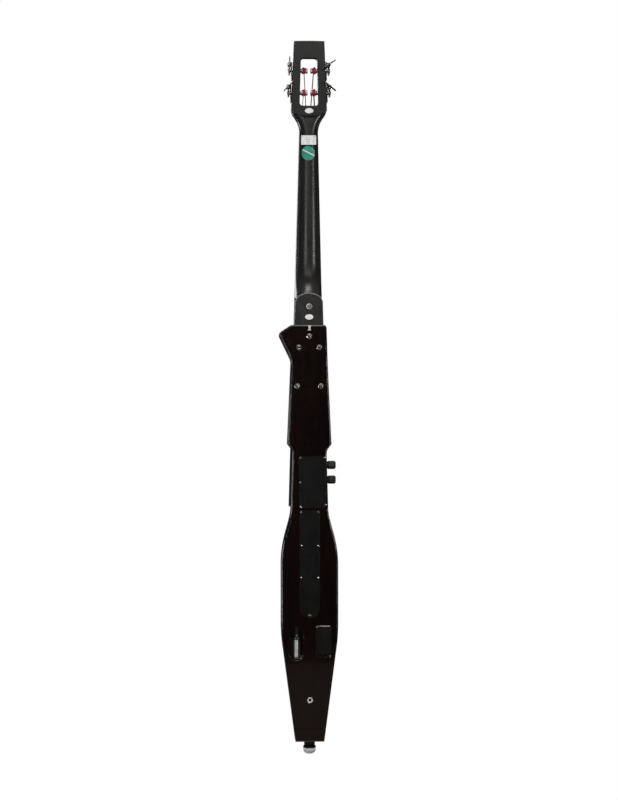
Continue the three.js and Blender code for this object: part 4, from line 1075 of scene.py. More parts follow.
def make_bridge():
    blank = prism(bridge_outline(), BRIDGE_Z - 10, BRIDGE_Z + 10, "z", 0.8, 0.8, 3)
    for vert in blank.verts:
        share = (vert.co.z - BRIDGE_Z) / 10
        vert.co.z = BRIDGE_Z + share * bridge_half_thickness(vert.co.y)
    foot = BRIDGE_FOOT_Y
    heart = Path2D(0, foot - 40, 10).curve((7, foot - 46), (10, foot - 58), (4, foot - 58))
    heart.curve((1.5, foot - 58), (0, foot - 55))
    holes = [*(ring(36, 8, 5, x, foot - 60) for x in (-25, 25)), heart.mirrored()]
    notches = [rod(r + 0.1, BRIDGE_Z - 9, BRIDGE_Z + 9, "z", (x, bridge_crown(x) - r * 0.1, 0), 16)
               for r, x in zip(STRING_RADII, STRING_AT_BRIDGE)]
    tools = [prism(tidy(h), BRIDGE_Z - 20, BRIDGE_Z + 20, "z") for h in holes] + notches
    piece("bridge_blank", cut(blank, *tools), MAPLE, "maple", replaces="bridge", sharp=40)
    for name, x in (("pickup_bass_foot", -46), ("pickup_treble_foot", 46)):
        plate = box(x - 11, x + 11, FRONT - 2.5, FRONT - GAP, BRIDGE_Z - 9, BRIDGE_Z + 9, 0.35)
        rim = cut(box(x - 9, x + 9, FRONT - 2.65, FRONT - 2.4, BRIDGE_Z - 7, BRIDGE_Z + 7),
                  box(x - 8, x + 8, FRONT - 4, FRONT, BRIDGE_Z - 6, BRIDGE_Z + 6))
        piece(name + "_element", join(plate, rim), BRASS, "brass", replaces=name)
    route = [(-36, -30.6, 373.5), (-32, -30.6, 369), (-24, -30.6, 365.8), (-15, -31, 365.2),
             (-12.2, -29.5, 365), (-12, -24, 365), (-12, 0, 365), (-12, 14, 365)]
    piece("pickup_lead_wire", sweep(smoothed(route), 0.95), RUBBER, "cable_black", replaces="pickup_lead")


def make_tailpiece():
    low = -TAIL_LENGTH
    path = Path2D(0, low, 16).line((16, low)).curve((20, low + 50), (36, -60), (38, -6))
    body = prism(path.curve((19, -1), (0, -1)).mirrored(), -5, 5, "y", 2.6, 1.5)
    for vert in body.verts:
        if vert.co.y < 0:
            vert.co.y += 0.8 * (vert.co.x / 38) ** 2
    tools = []
    for x in (tail_x(i) for i in range(4)):
        tools += [prism(upright_slot(x, 1.7, -26, -10), -9, 9), rod(3.1, -9, 9, "y", (x, 0, -26), 20),
                  rod(1.6, -13, 10, "z", (x, 0, 0), 16)]
    tools += [rod(1.9, low - 9, low + 14, "z", (x, 0, 0), 20) for x in (-9, 9)]
    piece("tailpiece_blank", cut(body, *tools), EBONY, "ebony", replaces="tailpiece", sharp=40,
          frame=TAIL_FRAME)


make_fingerboard()
make_nut()
make_bridge()
make_tailpiece()

# ---------- screws ----------


def phillips_cut(radius, depth, top):
    """A tapered cross, cut from the top of a screw head that faces +Y."""
    wide, narrow = radius * 0.26, radius * 0.16
    levels = ((narrow, radius * 0.45, top - depth), (wide, radius, top), (wide, radius, top + 1))
    rings = [[(-half, y, -reach), (half, y, -reach), (half, y, reach), (-half, y, reach)]
             for half, reach, y in levels]
    return [moved(skin(rings), Matrix.Rotation(turn, 4, "Y")) for turn in (0, math.pi / 2)]


def screw(radius, rise, sink, turn=0.0):
    """A cross-head screw facing +Y, its rim at y = 0. Rise is the height of its dome, sink its depth."""
    dome = [(radius * math.sin(a), rise * math.cos(a)) for a in quarter(6)]
    profile = [*dome, (radius, 0.0), (radius * 0.55, -sink), (0, -sink)]
    head = cut(turned(profile, "y", segments=28), *phillips_cut(radius * 0.62, radius * 0.55, rise))
    return moved(head, Matrix.Rotation(math.radians(turn), 4, "Y"))


def at(x, y, z):
    return Matrix.Translation((x, y, z))


# ---------- tuners ----------

GEAR_TEETH = 20
GEAR_PITCH = 2 * math.pi / GEAR_TEETH
WORM_LEAD = 9.5 * GEAR_PITCH
WORM_OFFSET = 13.2
PLATE_REACH = 22
GEAR_STANDOFF, GEAR_THICKNESS = 2.6, 4
DRUM_RADIUS = 5.5
WINDING = 1.9
SILK_RADIUS = 0.95
# the side of the head, the height of the post and the turn of the key in degrees
TUNERS = {"e": (-1, 45, -39), "a": (-1, 94, 34), "d": (1, 94, 90), "g": (1, 45, 45)}


def gear_outline(post):
    flank = [(8.3, -0.34), (8.6, -0.27), (9.7, -0.17), (10.2, -0.1)]
    points = []
    for tooth in range(GEAR_TEETH):
        for radius, share in [*flank, *((r, -s) for r, s in reversed(flank))]:
            angle = math.pi / 2 + (tooth + 0.5 + share) * GEAR_PITCH
            points.append((POST_DEPTH + radius * math.cos(angle), post + radius * math.sin(angle)))
    return points


def worm(depth_low, depth_high):
    """A right-handed thread round the shaft of a key."""
    steps = 24
    count = round((depth_high - depth_low - 2) / WORM_LEAD * steps)
    rings = []
    for i in range(count + 1):
        turn = (i - count / 2) / steps
        angle = 2 * math.pi * turn
        tip = 4.2 - 1.4 * max(0.0, abs(2 * i / count - 1) - 0.9) * 10
        along = POST_DEPTH + WORM_LEAD * turn
        rings.append([(-radius * math.sin(angle), along + shift, -radius * math.cos(angle))
                      for radius, shift in ((2.0, -0.75), (2.0, 0.75), (tip, 0.3), (tip, -0.3))])
    return together(skin(rings), rod(2.4, depth_low, depth_high, "y", chamfer=0.4))


def wing_outline():
    low, high, half = 37, 58, 17
    path = Path2D(0, high - 4, 12).curve((4, high - 3), (8, high + 1), (half - 3, high - 2))
    path.curve((half + 1, high - 6), (half + 1.5, low + 4), (half - 3, low + 1))
    return path.curve((8, low - 1), (5, low + 2), (2.5, low)).mirrored()


def key_wing(turn):
    wing = prism([(x * 0.985, 46 + (y - 46) * 0.98) for x, y in wing_outline()], -1.3, 1.3, "z", 0.9, 0.9, 3)
    for vert in wing.verts:
        vert.co.z *= lerp(1.0, 0.85, min(1.0, abs(vert.co.x) / 15))
    return moved(wing, Matrix.Rotation(math.radians(turn), 4, "Y"))


def make_tuner(name, side, post, turn):
    face = head_half_width(post - PLATE_REACH) + GAP
    plate_out = face + 2
    gear_in = plate_out + GEAR_STANDOFF
    gear_out = gear_in + GEAR_THICKNESS
    worm_x, worm_rise = gear_in + GEAR_THICKNESS / 2, post + WORM_OFFSET
    post_axis = (0, POST_DEPTH, post)

    def between(x0, x1):
        return sorted((side * x0, side * x1))

    def on_side(profile):
        """Turned about the post from points whose second value is the distance from the head's middle."""
        return turned([(r, side * x) for r, x in profile], "x", post_axis)

    outline = rounded_rect(2, 28, post - PLATE_REACH, post + PLATE_REACH, 4)
    rounds = (0.6, 0) if side < 0 else (0, 0.6)
    plate = prism(outline, *between(face, plate_out), "x", *rounds, 3)
    lug = rounded_rect(*between(face + 1, worm_x + 4), worm_rise - 5, worm_rise + 5, 2.2)
    lugs = [prism(lug, depth, depth + 3, "y", 0.4, 0.4, 2) for depth in (3, 24)]
    holes = [rod(4.9, *between(face - 1, plate_out + 1), "x", post_axis),
             rod(2.0, -5, 40, "y", (side * worm_x, 0, worm_rise))]
    body = cut(join(plate, *lugs), *holes)
    collar = on_side([(4.9, face + 0.3), (6.6, face + 1.9), (6.6, plate_out + 0.5), (6.1, plate_out + 0.9),
                      (4.9, plate_out + 0.9)])
    facing = Matrix.Rotation(-side * math.pi / 2, 4, "Z")
    places = ((6, post - 18), (24, post - 18), (6, post + 5), (24, post + 5.5))
    screws = [moved(screw(2.3, 0.8, 0.5, 20 * k), at(side * plate_out, depth, rise) @ facing)
              for k, (depth, rise) in enumerate(places)]
    node = f"tuner_plate_{name}"
    neck_piece(f"{node}_cast", together(body, collar), CHROME, "chrome", replaces=node)
    neck_piece(f"{node}_screws", together(*screws), NICKEL, "chrome")

    dish, above = gear_out - 0.6, gear_out + 1
    gear = cut(prism(gear_outline(post), *between(gear_in, gear_out), "x", 0.3, 0.3, 2),
               rod(3.3, *between(gear_in - 1, above), "x", post_axis),
               on_side([(4.6, dish), (7.4, dish), (7.6, above), (4.4, above)]))
    node = f"tuner_gear_{name}"
    neck_piece(f"{node}_wheel", gear, NICKEL, "brass", body=f"post_{name}", replaces=node)

    drum = [(0, 3.2), (5.9, 3.2), (6.4, 3.6), (6.4, 4.4), (DRUM_RADIUS + 0.3, 5.0), (DRUM_RADIUS, 5.8),
            (DRUM_RADIUS, 16.4), (DRUM_RADIUS - 0.4, 17.2), (4.6, 17.6), (4.6, gear_in - GAP)]
    tip = [(3.1, gear_in - GAP), (3.1, gear_out + GAP), (4.6, gear_out + GAP), (4.6, gear_out + 0.9),
           (4.1, gear_out + 1.4), (0, gear_out + 1.6)]
    groove = box(*between(gear_out + 0.8, gear_out + 3), POST_DEPTH - 6, POST_DEPTH + 6,
                 post - 0.5, post + 0.5)
    hole = rod(1.3, -20, 40, "y", (side * 5.9, 0, post), 16)
    node = f"tuner_post_{name}"
    neck_piece(f"{node}_turned", cut(on_side(drum + tip), groove, hole), STEEL, "steel", body=f"post_{name}",
               replaces=node)

    shaft = turned([(0, -1), (1.4, -1), (1.8, -0.6), (1.8, 27.4), (2.9, 27.4), (2.9, 28.8), (3.4, 29.4),
                    (3.6, 30.6), (3.1, 31.6), (2.5, 33.5), (2.5, 36), (2.9, 38), (2.9, 44), (1.6, 47),
                    (0, 47.6)], "y")
    key = moved(together(worm(10, 20), shaft, key_wing(turn)), at(side * worm_x, 0, worm_rise))
    node = f"tuner_key_{name}"
    neck_piece(f"{node}_wing", key, SMOKED, "chrome", body=f"key_{name}", replaces=node)


# ---------- strings ----------

SILK_TURNS = 4.6
DROP_TURNS = 0.85  # the silk comes down from the run of the string to the drum in this part of a turn


def winding_heading(radius, depth, rise, post):
    """Heading of the run from the nut to its post, and where it meets the winding."""
    reach = math.hypot(post - rise, POST_DEPTH - depth)
    clear = DRUM_RADIUS + WINDING + radius
    heading = math.atan2(POST_DEPTH - depth, post - rise) - math.asin(clear / reach)
    length = math.sqrt(reach**2 - clear**2)
    return heading, depth + length * math.sin(heading), rise + length * math.cos(heading)


def silk_coil(side, post, radius, heading, steps=28):
    """The silk's turns round a post, side by side from the middle of the drum towards its inner end."""
    start, layer = DRUM_RADIUS + WINDING + radius, DRUM_RADIUS + SILK_RADIUS
    points = []
    for i in range(round(SILK_TURNS * steps) + 1):
        turn = i / steps
        drop = min(1.0, turn / DROP_TURNS)
        reach = lerp(start, layer, drop * drop * (3 - 2 * drop))
        along = lerp(11, 15.2, drop)
        if turn >= DROP_TURNS:
            along = lerp(15.2, 7.6, (turn - DROP_TURNS) / (SILK_TURNS - DROP_TURNS))
        angle = heading + 2 * math.pi * turn
        points.append((side * along, POST_DEPTH - reach * math.cos(angle), post + reach * math.sin(angle)))
    return points


def make_string(index):
    node, radius, post = f"string_{STRING_NAMES[index]}", STRING_RADII[index], STRING_POSTS[index]
    nut_x, bridge_x = STRING_AT_NUT[index], STRING_AT_BRIDGE[index]
    side = math.copysign(1, nut_x)
    nut_depth = nut_crown(nut_x) - radius - GAP
    bridge_y = bridge_crown(bridge_x) - radius - GAP
    heading, end_depth, end_rise = winding_heading(radius, nut_depth, NUT_LENGTH + GAP, post)
    tail = on_tail(tail_x(index), 0, -12)
    below, above = (Vector((bridge_x, bridge_y, BRIDGE_Z + d)) for d in (-2.7, 2.7))
    nut_low, nut_high = (on_neck(nut_x, nut_depth, rise) for rise in (-0.2, NUT_LENGTH + GAP))
    winding = on_neck(side * 11, end_depth, end_rise)

    lower_silk, upper_silk = tail.lerp(below, 0.42), above.lerp(nut_low, 0.965)
    steel = [lower_silk, below.lerp(lower_silk, 0.06), below, above, above.lerp(upper_silk, 0.01)]
    steel += [above.lerp(upper_silk, k / 8) for k in range(1, 9)]
    piece(f"{node}_wound", sweep(steel, radius), WOUND_STEEL, "steel", replaces=node)
    low_end = [tail, tail.lerp(lower_silk, 0.5), lower_silk]
    high_end = [upper_silk, nut_low.lerp(upper_silk, 0.08), nut_low, nut_high, nut_high.lerp(winding, 0.1),
                nut_high.lerp(winding, 0.55), winding]
    thick = radius + 0.12
    thin = lerp(thick, radius, 0.5)
    piece(f"{node}_silk_low", sweep(low_end, lambda share: lerp(thick, thick * 0.96, share)), RED_SILK)
    piece(f"{node}_silk_high", sweep(high_end, lambda share: lerp(thick, thin, share)), RED_SILK)
    ball = turned([(0, -2.2), (2.4, -2.2), (2.9, -1.7), (2.9, 1.7), (2.4, 2.2), (0, 2.2)], "z",
                  (tail_x(index), 0, -12), 24)
    piece(f"{node}_ball", ball, BRASS, "brass", frame=TAIL_FRAME)
    coil = sweep(silk_coil(side, post, radius, heading),
                 lambda share: lerp(thin, SILK_RADIUS, min(1.0, share * 6)), 10)
    neck_piece(f"{node}_silk_coil", coil, RED_SILK, body=f"post_{STRING_NAMES[index]}")


for tuner_name, (tuner_side, tuner_post, tuner_turn) in TUNERS.items():
    make_tuner(tuner_name, tuner_side, tuner_post, tuner_turn)
for string_index in range(4):
    make_string(string_index)

# ---------- bolts, covers and their screws ----------

CONTROL_SCREWS = [(20.7, 667.3), (-33.2, 667.3), (20.2, 612), (20.2, 558), (-35.5, 562)]
CHANNEL_SCREWS = [*((s * 19.2, z) for z in (545.6, 470.5, 399) for s in (1, -1)), (0.5, 314)]


def make_bolt(name, x, z, seat, head, end, metal):
    """A cross-head bolt with its ferrule; seat is the face that the ferrule is sunk into."""
    base = seat - FERRULE_DEPTH
    shank = [(0, end), (1.5, end), (2.1, end + 1), (2.1, base)]
    ferrule = [(head - 0.4, base), (head, base + 0.3), (head, seat + 0.2), (head - 0.4, seat + 0.7),
               (head - 1.3, seat + 0.9), (head - 1.9, seat + 0.7)]
    dome = [(head * 0.66 * math.cos(a), seat + 0.3 + 2.0 * math.sin(a)) for a in quarter(6)[:-1]]
    whole = turned([*shank, *ferrule, *dome, (0, seat + 2.3)], "y")
    bolt = cut(whole, *phillips_cut(head * 0.42, 2.2, seat + 2.3))
    turn = math.radians((17 * x + 7 * z) % 90)
    bolt = moved(bolt, at(x, 0, z) @ Matrix.Rotation(turn, 4, "Y"))
    piece(f"{name}_cross_head", bolt, metal, "chrome", replaces=name)


def countersunk(outline, low, high, spots, rim=0.7):
    """A plate with countersunk screw holes."""
    tools = [turned([(1.3, low - 1), (1.3, high - 1), (2.6, high + 0.3), (2.6, high + 2), (0, high + 2),
                     (0, low - 1)], "y", (x, 0, z), 20) for x, z in spots]
    return cut(prism(outline, low, high, "y", 0.1, rim, 2), *tools)


def small_screws(spots, level):
    return [moved(screw(2.15, 0.45, 1.3, (x * 31 + z * 13) % 90), at(x, level, z)) for x, z in spots]


def make_covers():
    top = BACK - COVER_REBATE + GAP + 2
    for name, outline, spots in (("control_cover", control_cover_outline(0), CONTROL_SCREWS),
                                 ("channel_cover", channel_cover_outline(0), CHANNEL_SCREWS)):
        plate = countersunk(outline, top - 2, top, spots)
        piece(f"{name}_plate", plate, BLACK_PLASTIC, "black_plastic", replaces=name, sharp=30)
        piece(f"{name}_screws", together(*small_screws(spots, top - 0.15)), NICKEL, "steel")


# ---------- controls ----------

KNOB_RADIUS = 9.5


def make_knob(name, z):
    side = -lerp(38.4, 41.8, (676 - z) / 123)
    radius = KNOB_RADIUS
    cap = [(0, -59.4), (5.2, -59.4), (5.8, -59.1), (6.6, -59.2), (7.4, -58.8), (8.7, -57.2), (radius, -55.2)]
    bands = [(r, x + shift) for x in (-54.2, side - 5.0) for r, shift in
             ((radius, -0.4), (9.1, 0.0), (radius, 0.4))]
    skirt = [(radius, side - 4.0), (8.4, side - 2.0), (7.6, side - 0.9), (0, side - 0.9)]
    grip = turned(cap + bands + skirt, "x", (0, KNOB_Y, z), 96)
    knurl(grip, (0, KNOB_Y, z), (1, 2), radius - 0.05, 32, 0.05, -53.9, side - 5.3)
    groove = box(-60, -58.8, KNOB_Y + 3.5, KNOB_Y + 7.6, z - 0.45, z + 0.45)
    mark = box(-59.25, -58.9, KNOB_Y + 3.6, KNOB_Y + 7.5, z - 0.38, z + 0.38)
    shaft = rod(3, side - 2, -29.2, "x", (0, KNOB_Y, z))
    node = f"knob_{name}"
    body = f"{node}_body"
    piece(f"{node}_grip", cut(grip, groove), KNOB, "knob_metal", body=body, replaces=node, sharp=30)
    piece(f"{node}_pointer", mark, BONE, "bone", body=body)
    piece(f"{node}_shaft", shaft, STEEL, "steel", body=body)


def make_potentiometer(name, z):
    at_shaft = (0, KNOB_Y, z)
    can = turned([(3.3, -34.2), (8.1, -34.2), (8.5, -33.8), (8.5, -27.6), (8.2, -27.3), (8.2, -26.6),
                  (8.5, -26.3), (8.5, -24.6), (8.1, -24.2), (3.3, -24.2)], "x", at_shaft)
    bush = turned([(3.2, -39), (3.6, -38.7), (3.6, -34), (3.2, -34)], "x", at_shaft)
    legs = [box(-30.4, -29.8, KNOB_Y + 7.9, KNOB_Y + 15, leg - 0.9, leg + 0.9, 0.15)
            for leg in (z - 4, z, z + 4)]
    piece(f"pot_{name}_can", together(can, bush, *legs), NICKEL, "steel", replaces=f"pot_{name}")


def capacitor(x, z, radius, height, face):
    top = face + height
    return turned([(0, face), (radius, face), (radius, face + 0.6), (radius - 0.4, face + 1.0),
                   (radius, face + 1.5), (radius, top - 0.4), (radius - 0.4, top), (radius - 1.2, top - 0.2),
                   (0, top - 0.2)], "y", (x, 0, z), 24)


def make_preamp():
    face = -1.1
    board = box(-14, 18, -2.7, face, 572, 656, 0.2)
    piece("preamp_board_laminate", board, CIRCUIT, "circuit_board", replaces="preamp_board")
    places = [(11, 590, 4.0, 8), (11, 602, 3.2, 7), (-6, 600, 3.2, 7), (12, 640, 4.0, 9)]
    cans = [capacitor(*place, face) for place in places]
    piece("preamp_capacitors", together(*cans), DARK_STEEL, "steel")
    chips = [box(-4, 4, face, face + 3, 612, 622, 0.4), box(-4, 4, face, face + 3, 627, 637, 0.4),
             box(-11, -6, face, face + 4, 575, 590, 0.3), box(2, 14, face, face + 5, 646, 653, 0.3)]
    piece("preamp_chips", together(*chips), BLACK_PLASTIC, "black_plastic")
    legs = [box(x - 0.3, x + 0.3, face, face + 1, z - 0.9, z + 0.9)
            for z in (611.6, 622.4, 626.6, 637.4) for x in (-3, -1, 1, 3)]
    piece("preamp_legs", together(*legs), NICKEL, "steel")


def make_loom():
    """Three wires twisted round the loom's route."""
    route = [(-4, 9, 612), (-2, 17, 585), (0, 20, 566), (0, 20, 535), (2, 19, 500), (-2, 19, 440),
             (2, 19, 380), (10, 17.2, 346), (16, 17, 345), (26, 17, 345)]
    curve = smoothed(route, 8)
    radius, twist = 0.78, 0.5
    strands = [[], [], []]
    for i, here in enumerate(curve):
        along = (curve[min(i + 1, len(curve) - 1)] - curve[max(i - 1, 0)]).normalized()
        across = along.cross(Vector((0, 1, 0))).normalized()
        up = across.cross(along)
        for lead, strand in enumerate(strands):
            angle = 2 * math.pi * lead / 3 + i * twist
            strand.append(here + (across * math.cos(angle) + up * math.sin(angle)) * radius)
    wires = [sweep(strand, radius, 8) for strand in strands]
    piece("wiring_loom_strands", together(*wires), RUBBER, "cable_black", replaces="wiring_loom")


# ---------- output jack ----------

TROUGH_OUTER, TROUGH_INNER = 7.9, 6.6
TROUGH_LOW, TROUGH_LIP = 220, 18.5
TAB_SCREWS = (217.6, 267.6)


def make_jack():
    wall_low, wall_high = JACK_WALL
    centre = (JACK_X, JACK_Y, 0)
    tube = turned([(TROUGH_INNER, TROUGH_LOW), (TROUGH_OUTER, TROUGH_LOW), (TROUGH_OUTER, wall_high - 0.5),
                   (TROUGH_OUTER - 0.5, wall_high), (TROUGH_INNER, wall_high)], "z", centre)
    end = rod(TROUGH_INNER + 0.2, wall_low, wall_high, "z", centre)
    tab = prism(upright_slot(JACK_X, 4.5, 214.4, 226), 9.1, 10.5, "y", 0.2, 0.2, 2)
    mouth = [(JACK_X - 12, TROUGH_LIP), (JACK_X + 12, TROUGH_LIP), (JACK_X + 12, 30), (JACK_X - 12, 30)]
    plate = cut(join(tube, end, tab), prism(mouth, TROUGH_LOW - 5, wall_low - 0.05, "z"),
                rod(4.6, wall_low - 2, wall_high + 2, "z", centre),
                rod(1.6, 8, 12, "y", (JACK_X, 0, TAB_SCREWS[0]), 20))
    lips = [edge for edge in plate.edges if edge.is_manifold and edge.calc_face_angle(0) > 1.2
            and all(abs(vert.co.y - TROUGH_LIP) < 0.01 for vert in edge.verts)]
    bmesh.ops.bevel(plate, geom=lips, offset=0.25, segments=2, profile=0.5, affect="EDGES")
    # the trough's metal carries painted shade along its sides
    piece("jack_plate_trough", plate, trough_metal(JACK_X, 4.0), "chrome", replaces="jack_plate")
    rim = BACK - 3.2
    upper_tab = cut(prism(upright_slot(JACK_X, 4.4, 261.8, 272.4), rim - 1.1, rim, "y", 0.2, 0.3, 2),
                    rod(1.6, rim - 4, rim + 3, "y", (JACK_X, 0, TAB_SCREWS[1]), 20))
    piece("jack_plate_tab", upper_tab, BLACK_PLASTIC, "chrome")
    tab_screws = [moved(screw(2.4, 0.9, 0.4, turn), at(JACK_X, y, z))
                  for y, z, turn in zip((10.5, rim), TAB_SCREWS, (25, 60))]
    piece("jack_plate_screws", together(*tab_screws), NICKEL, "chrome")
    can = turned([(4.4, 264.7), (7.1, 264.7), (7.6, 265.2), (7.6, 293.9), (7.1, 294.4), (0, 294.4),
                  (0, 290.6), (4.4, 290.6)], "z", centre)
    piece("output_jack_can", can, BLACK_PLASTIC, "black_plastic")
    bush = turned([(3.4, 257.8), (4.0, 257.8), (4.3, 258.2), (4.3, 290), (3.4, 290)], "z", centre)
    hexagon = ring(6, 6.2, x=JACK_X, y=JACK_Y)
    nut = cut(prism(hexagon, 259.7, 261.7, "z", 0.4, 0.1, 2), rod(4.0, 250, 270, "z", centre))
    threads = [turned([(4.1, z), (4.38, z + 0.3), (4.1, z + 0.6)], "z", centre, 24) for z in (258.3, 258.95)]
    piece("output_jack_bush", together(bush, nut, *threads), SMOKED, "steel", replaces="output_jack")
    inside = turned([(3.3, 262), (3.4, 262), (3.4, 290), (0, 290), (0, 289.6), (3.3, 289.6)], "z", centre)
    piece("output_jack_liner", inside, BLACK_PLASTIC, "black_plastic")


# ---------- battery ----------

LID_TOP = 30
FLANGE_TOP = 30.9
HINGE_Y, HINGE_Z = 28.6, 284.2


def battery_rect(half, low, high, radius):
    return rounded_rect(BATTERY_X - half, BATTERY_X + half, low, high, radius)


def hinge_rod(radius, half, segments=16, chamfer=0.0):
    return rod(radius, BATTERY_X - half, BATTERY_X + half, "x", (0, HINGE_Y, HINGE_Z), segments, chamfer)


def make_battery_case():
    x = BATTERY_X
    flange = prism(battery_rect(17.5, BATTERY_LOW, BATTERY_HIGH, 4), BACK + GAP, FLANGE_TOP, "y", 0.1, 0.7, 3)
    case = prism(battery_rect(CASE_HALF, CASE_LOW, CASE_HIGH, 1.2), CASE_FLOOR, BACK + 1, "y", 0.4, 0)
    room = prism(battery_rect(14.5, 224.5, 286.5, 1.5), 6.5, FLANGE_TOP + 5)
    notch = rod(5.4, BACK - 2.5, FLANGE_TOP + 4, "y", (x, 0, 224.2))
    shell = cut(join(flange, case), room, hinge_rod(1.15, 15.8), notch)
    ribs = [box(side - 0.4, side + 0.4, 8, 20, z, z + 1.2)
            for side in (x - 14.5, x + 14.5) for z in (235, 255)]
    piece("battery_case_shell", together(shell, *ribs), LID_PLASTIC, "black_plastic", replaces="battery_case",
          sharp=30)
    spots = [(x + 14.3, 288.8), (x - 14.3, 222.2)]
    piece("battery_case_screws", together(*small_screws(spots, FLANGE_TOP - 0.1)), NICKEL, "steel")
    strip = box(x - 14, x + 9, FLANGE_TOP - 0.3, FLANGE_TOP + 0.3, 289.4, 290.8, 0.15)
    piece("battery_case_strip", strip, ZINC, "steel")


def make_battery_lid():
    x = BATTERY_X
    panel = prism(battery_rect(14.2, 226, HINGE_Z, 1.2), 27.2, LID_TOP, "y", 0.2, 0.45, 2)
    grooves = [box(x - 8, x + 8, LID_TOP - 0.4, LID_TOP + 1, z, z + 0.9) for z in (234, 236.4, 238.8, 241.2)]
    lid = cut(join(panel, hinge_rod(1.4, 14.2, 20, 0.2)), rod(5, 20, 40, "y", (x, 0, 225)),
              hinge_rod(1.05, 16), *grooves)
    piece("battery_lid_panel", lid, LID_PLASTIC, "black_plastic", body="battery_lid_body",
          replaces="battery_lid", sharp=30)
    pin = hinge_rod(1, 15.4, 16, 0.2)
    piece("battery_hinge_pin_rod", pin, STEEL, "steel", replaces="battery_hinge_pin")


def make_battery():
    cell = prism(battery_rect(13.2, 6.8, 24.3, 1.6), 226, 271.6, "z", 0.6, 0.6, 3)
    piece("battery_cell_jacket", cell, RUBBER, "black_plastic", replaces="battery")
    band = prism(battery_rect(13.25, 6.75, 24.35, 1.6), 244, 271.0, "z", 0.3, 0.3, 2)
    piece("battery_cell_band", band, COPPER, "brass")
    stud = turned([(0, 271.6), (3, 271.6), (3, 273.4), (2.6, 274), (0, 274)], "z",
                  (BATTERY_X - 6.5, 15.5, 0), 24)
    socket = turned([(2.7, 271.6), (3.2, 271.6), (4, 272.2), (4, 274), (3.4, 274), (2.9, 273.2)], "z",
                    (BATTERY_X + 6.5, 15.5, 0), 24)
    piece("battery_cell_terminals", together(stud, socket), NICKEL, "chrome")


for bolt_number, (bolt_x, bolt_z) in enumerate(NECK_BOLTS, 1):
    make_bolt(f"neck_bolt_{bolt_number}", bolt_x, bolt_z, BACK, 6.5, -9, DIM_NICKEL)
make_bolt("heel_bolt", 0, HEEL_BOLT_Z, HEEL_BACK + GAP, 7, -12, STEEL)
make_covers()
for knob_name, knob_z in KNOB_HEIGHTS.items():
    make_knob(knob_name, knob_z)
    make_potentiometer(knob_name, knob_z)
make_preamp()
make_loom()
make_jack()
make_battery_case()
make_battery_lid()
make_battery()

# ---------- stand insert, endpin, tail cable, truss rod ----------

THREAD_PITCH = 1.3


def make_insert():
    low, face = 16, BACK + GAP
    centre = (0, 0, INSERT_Z)
    starts = [low + 1.5 + k * THREAD_PITCH for k in range(9)]
    thread = [point for z in starts for point in ((4.35, z), (4.8, z + 0.45), (4.35, z + 0.9))]
    rim = [(4.6, face), (6.6, face), (6.55, face + 0.35), (6.2, face + 0.8), (3.9, face + 0.8),
           (3.1, face + 0.4), (2.9, face - 0.3)]
    insert = turned([(2.9, low), (4.2, low), *thread, *rim, (2.9, low)], "y", centre, 48)
    steps = [(2.2 + 0.25 * (k % 2), face - 0.9 - k * 0.35) for k in range(34)]
    bore = turned([(2.85, low + 0.2), (2.85, face - 0.6), *steps], "y", centre, 40)
    piece("stand_insert_bore", bore, BLACK_METAL, "steel")
    slots = [box(x - 1.3, x + 1.3, face + 0.35, face + 2, INSERT_Z - 0.55, INSERT_Z + 0.55)
             for x in (-4.4, 4.4)]
    piece("stand_insert_threaded", cut(insert, *slots), ZINC, "chrome", replaces="stand_insert")


def make_endpin():
    socket = turned([(5.3, 19), (10.4, 19), (10.75, 19.35), (12.0, 20.4), (12.25, 21), (12.25, 28.8),
                     (11.9, 29.7), (SOCKET_TUBE, 29.7), (SOCKET_TUBE, 74.4), (7.5, SOCKET_TOP),
                     (5.3, SOCKET_TOP)], "z", segments=48)
    socket = cut(socket, rod(3.3, -20, 0, "y", (0, 0, CLAMP_Z)))
    piece("endpin_socket_turned", socket, BLACK_METAL, "chrome", replaces="endpin_socket")

    grooves = [point for z in range(60, 350, 20) for point in ((5, z - 0.5), (4.82, z), (5, z + 0.5))]
    shaft = turned([(0, 7.3), (4.7, 7.3), (5, 9.0), *grooves, (5, 364.2), (4.3, 365), (0, 365)], "z")
    piece("endpin_rod_steel", shaft, CHROME, "chrome", body="endpin", replaces="endpin_rod")
    collar = turned([(5.3, 14.1), (13.8, 14.1), (14.2, 14.6), (14.2, 16.6), (13.9, 17.6), (13, 18.6),
                     (5.3, 18.6)], "z", segments=56)
    piece("endpin_foot_collar", collar, BLACK_METAL, "chrome", body="endpin")
    foot = turned([(0, 0), (6, 0), (8.4, 0.7), (10.5, 1.8), (12.1, 3.3), (13.2, 5), (13.95, 7), (14.2, 9.5),
                   (14.2, 13.2), (13.8, 13.9), (5.3, 13.9), (5.3, 7), (0, 7)], "z", segments=56)
    piece("endpin_foot_turned", foot, CHROME, "chrome", body="endpin", replaces="endpin_foot", sharp=28)


def make_thumbscrew():
    radius, centre = 10, (0, 0, CLAMP_Z)
    head = [(0, -49), (2, -49), (2.3, -48.6), (7.2, -48.6), (8, -49), (8.6, -48.9), (radius, -47.5)]
    neck = [(radius, -41.2), (9.2, -40.4), (6.2, -38.4), (5.6, -37.4), (5, -35), (4.6, -34)]
    shank = [(3, -34), (3, -7), (2.2, -5.6), (0, -5.6)]
    whole = turned(head + neck + shank, "y", centre, 72)
    knurl(whole, centre, (0, 2), radius - 0.05, 24, 0.045)
    piece("endpin_thumbscrew_knurled", whole, NICKEL, "chrome", body="clamp_screw",
          replaces="endpin_thumbscrew", sharp=30)


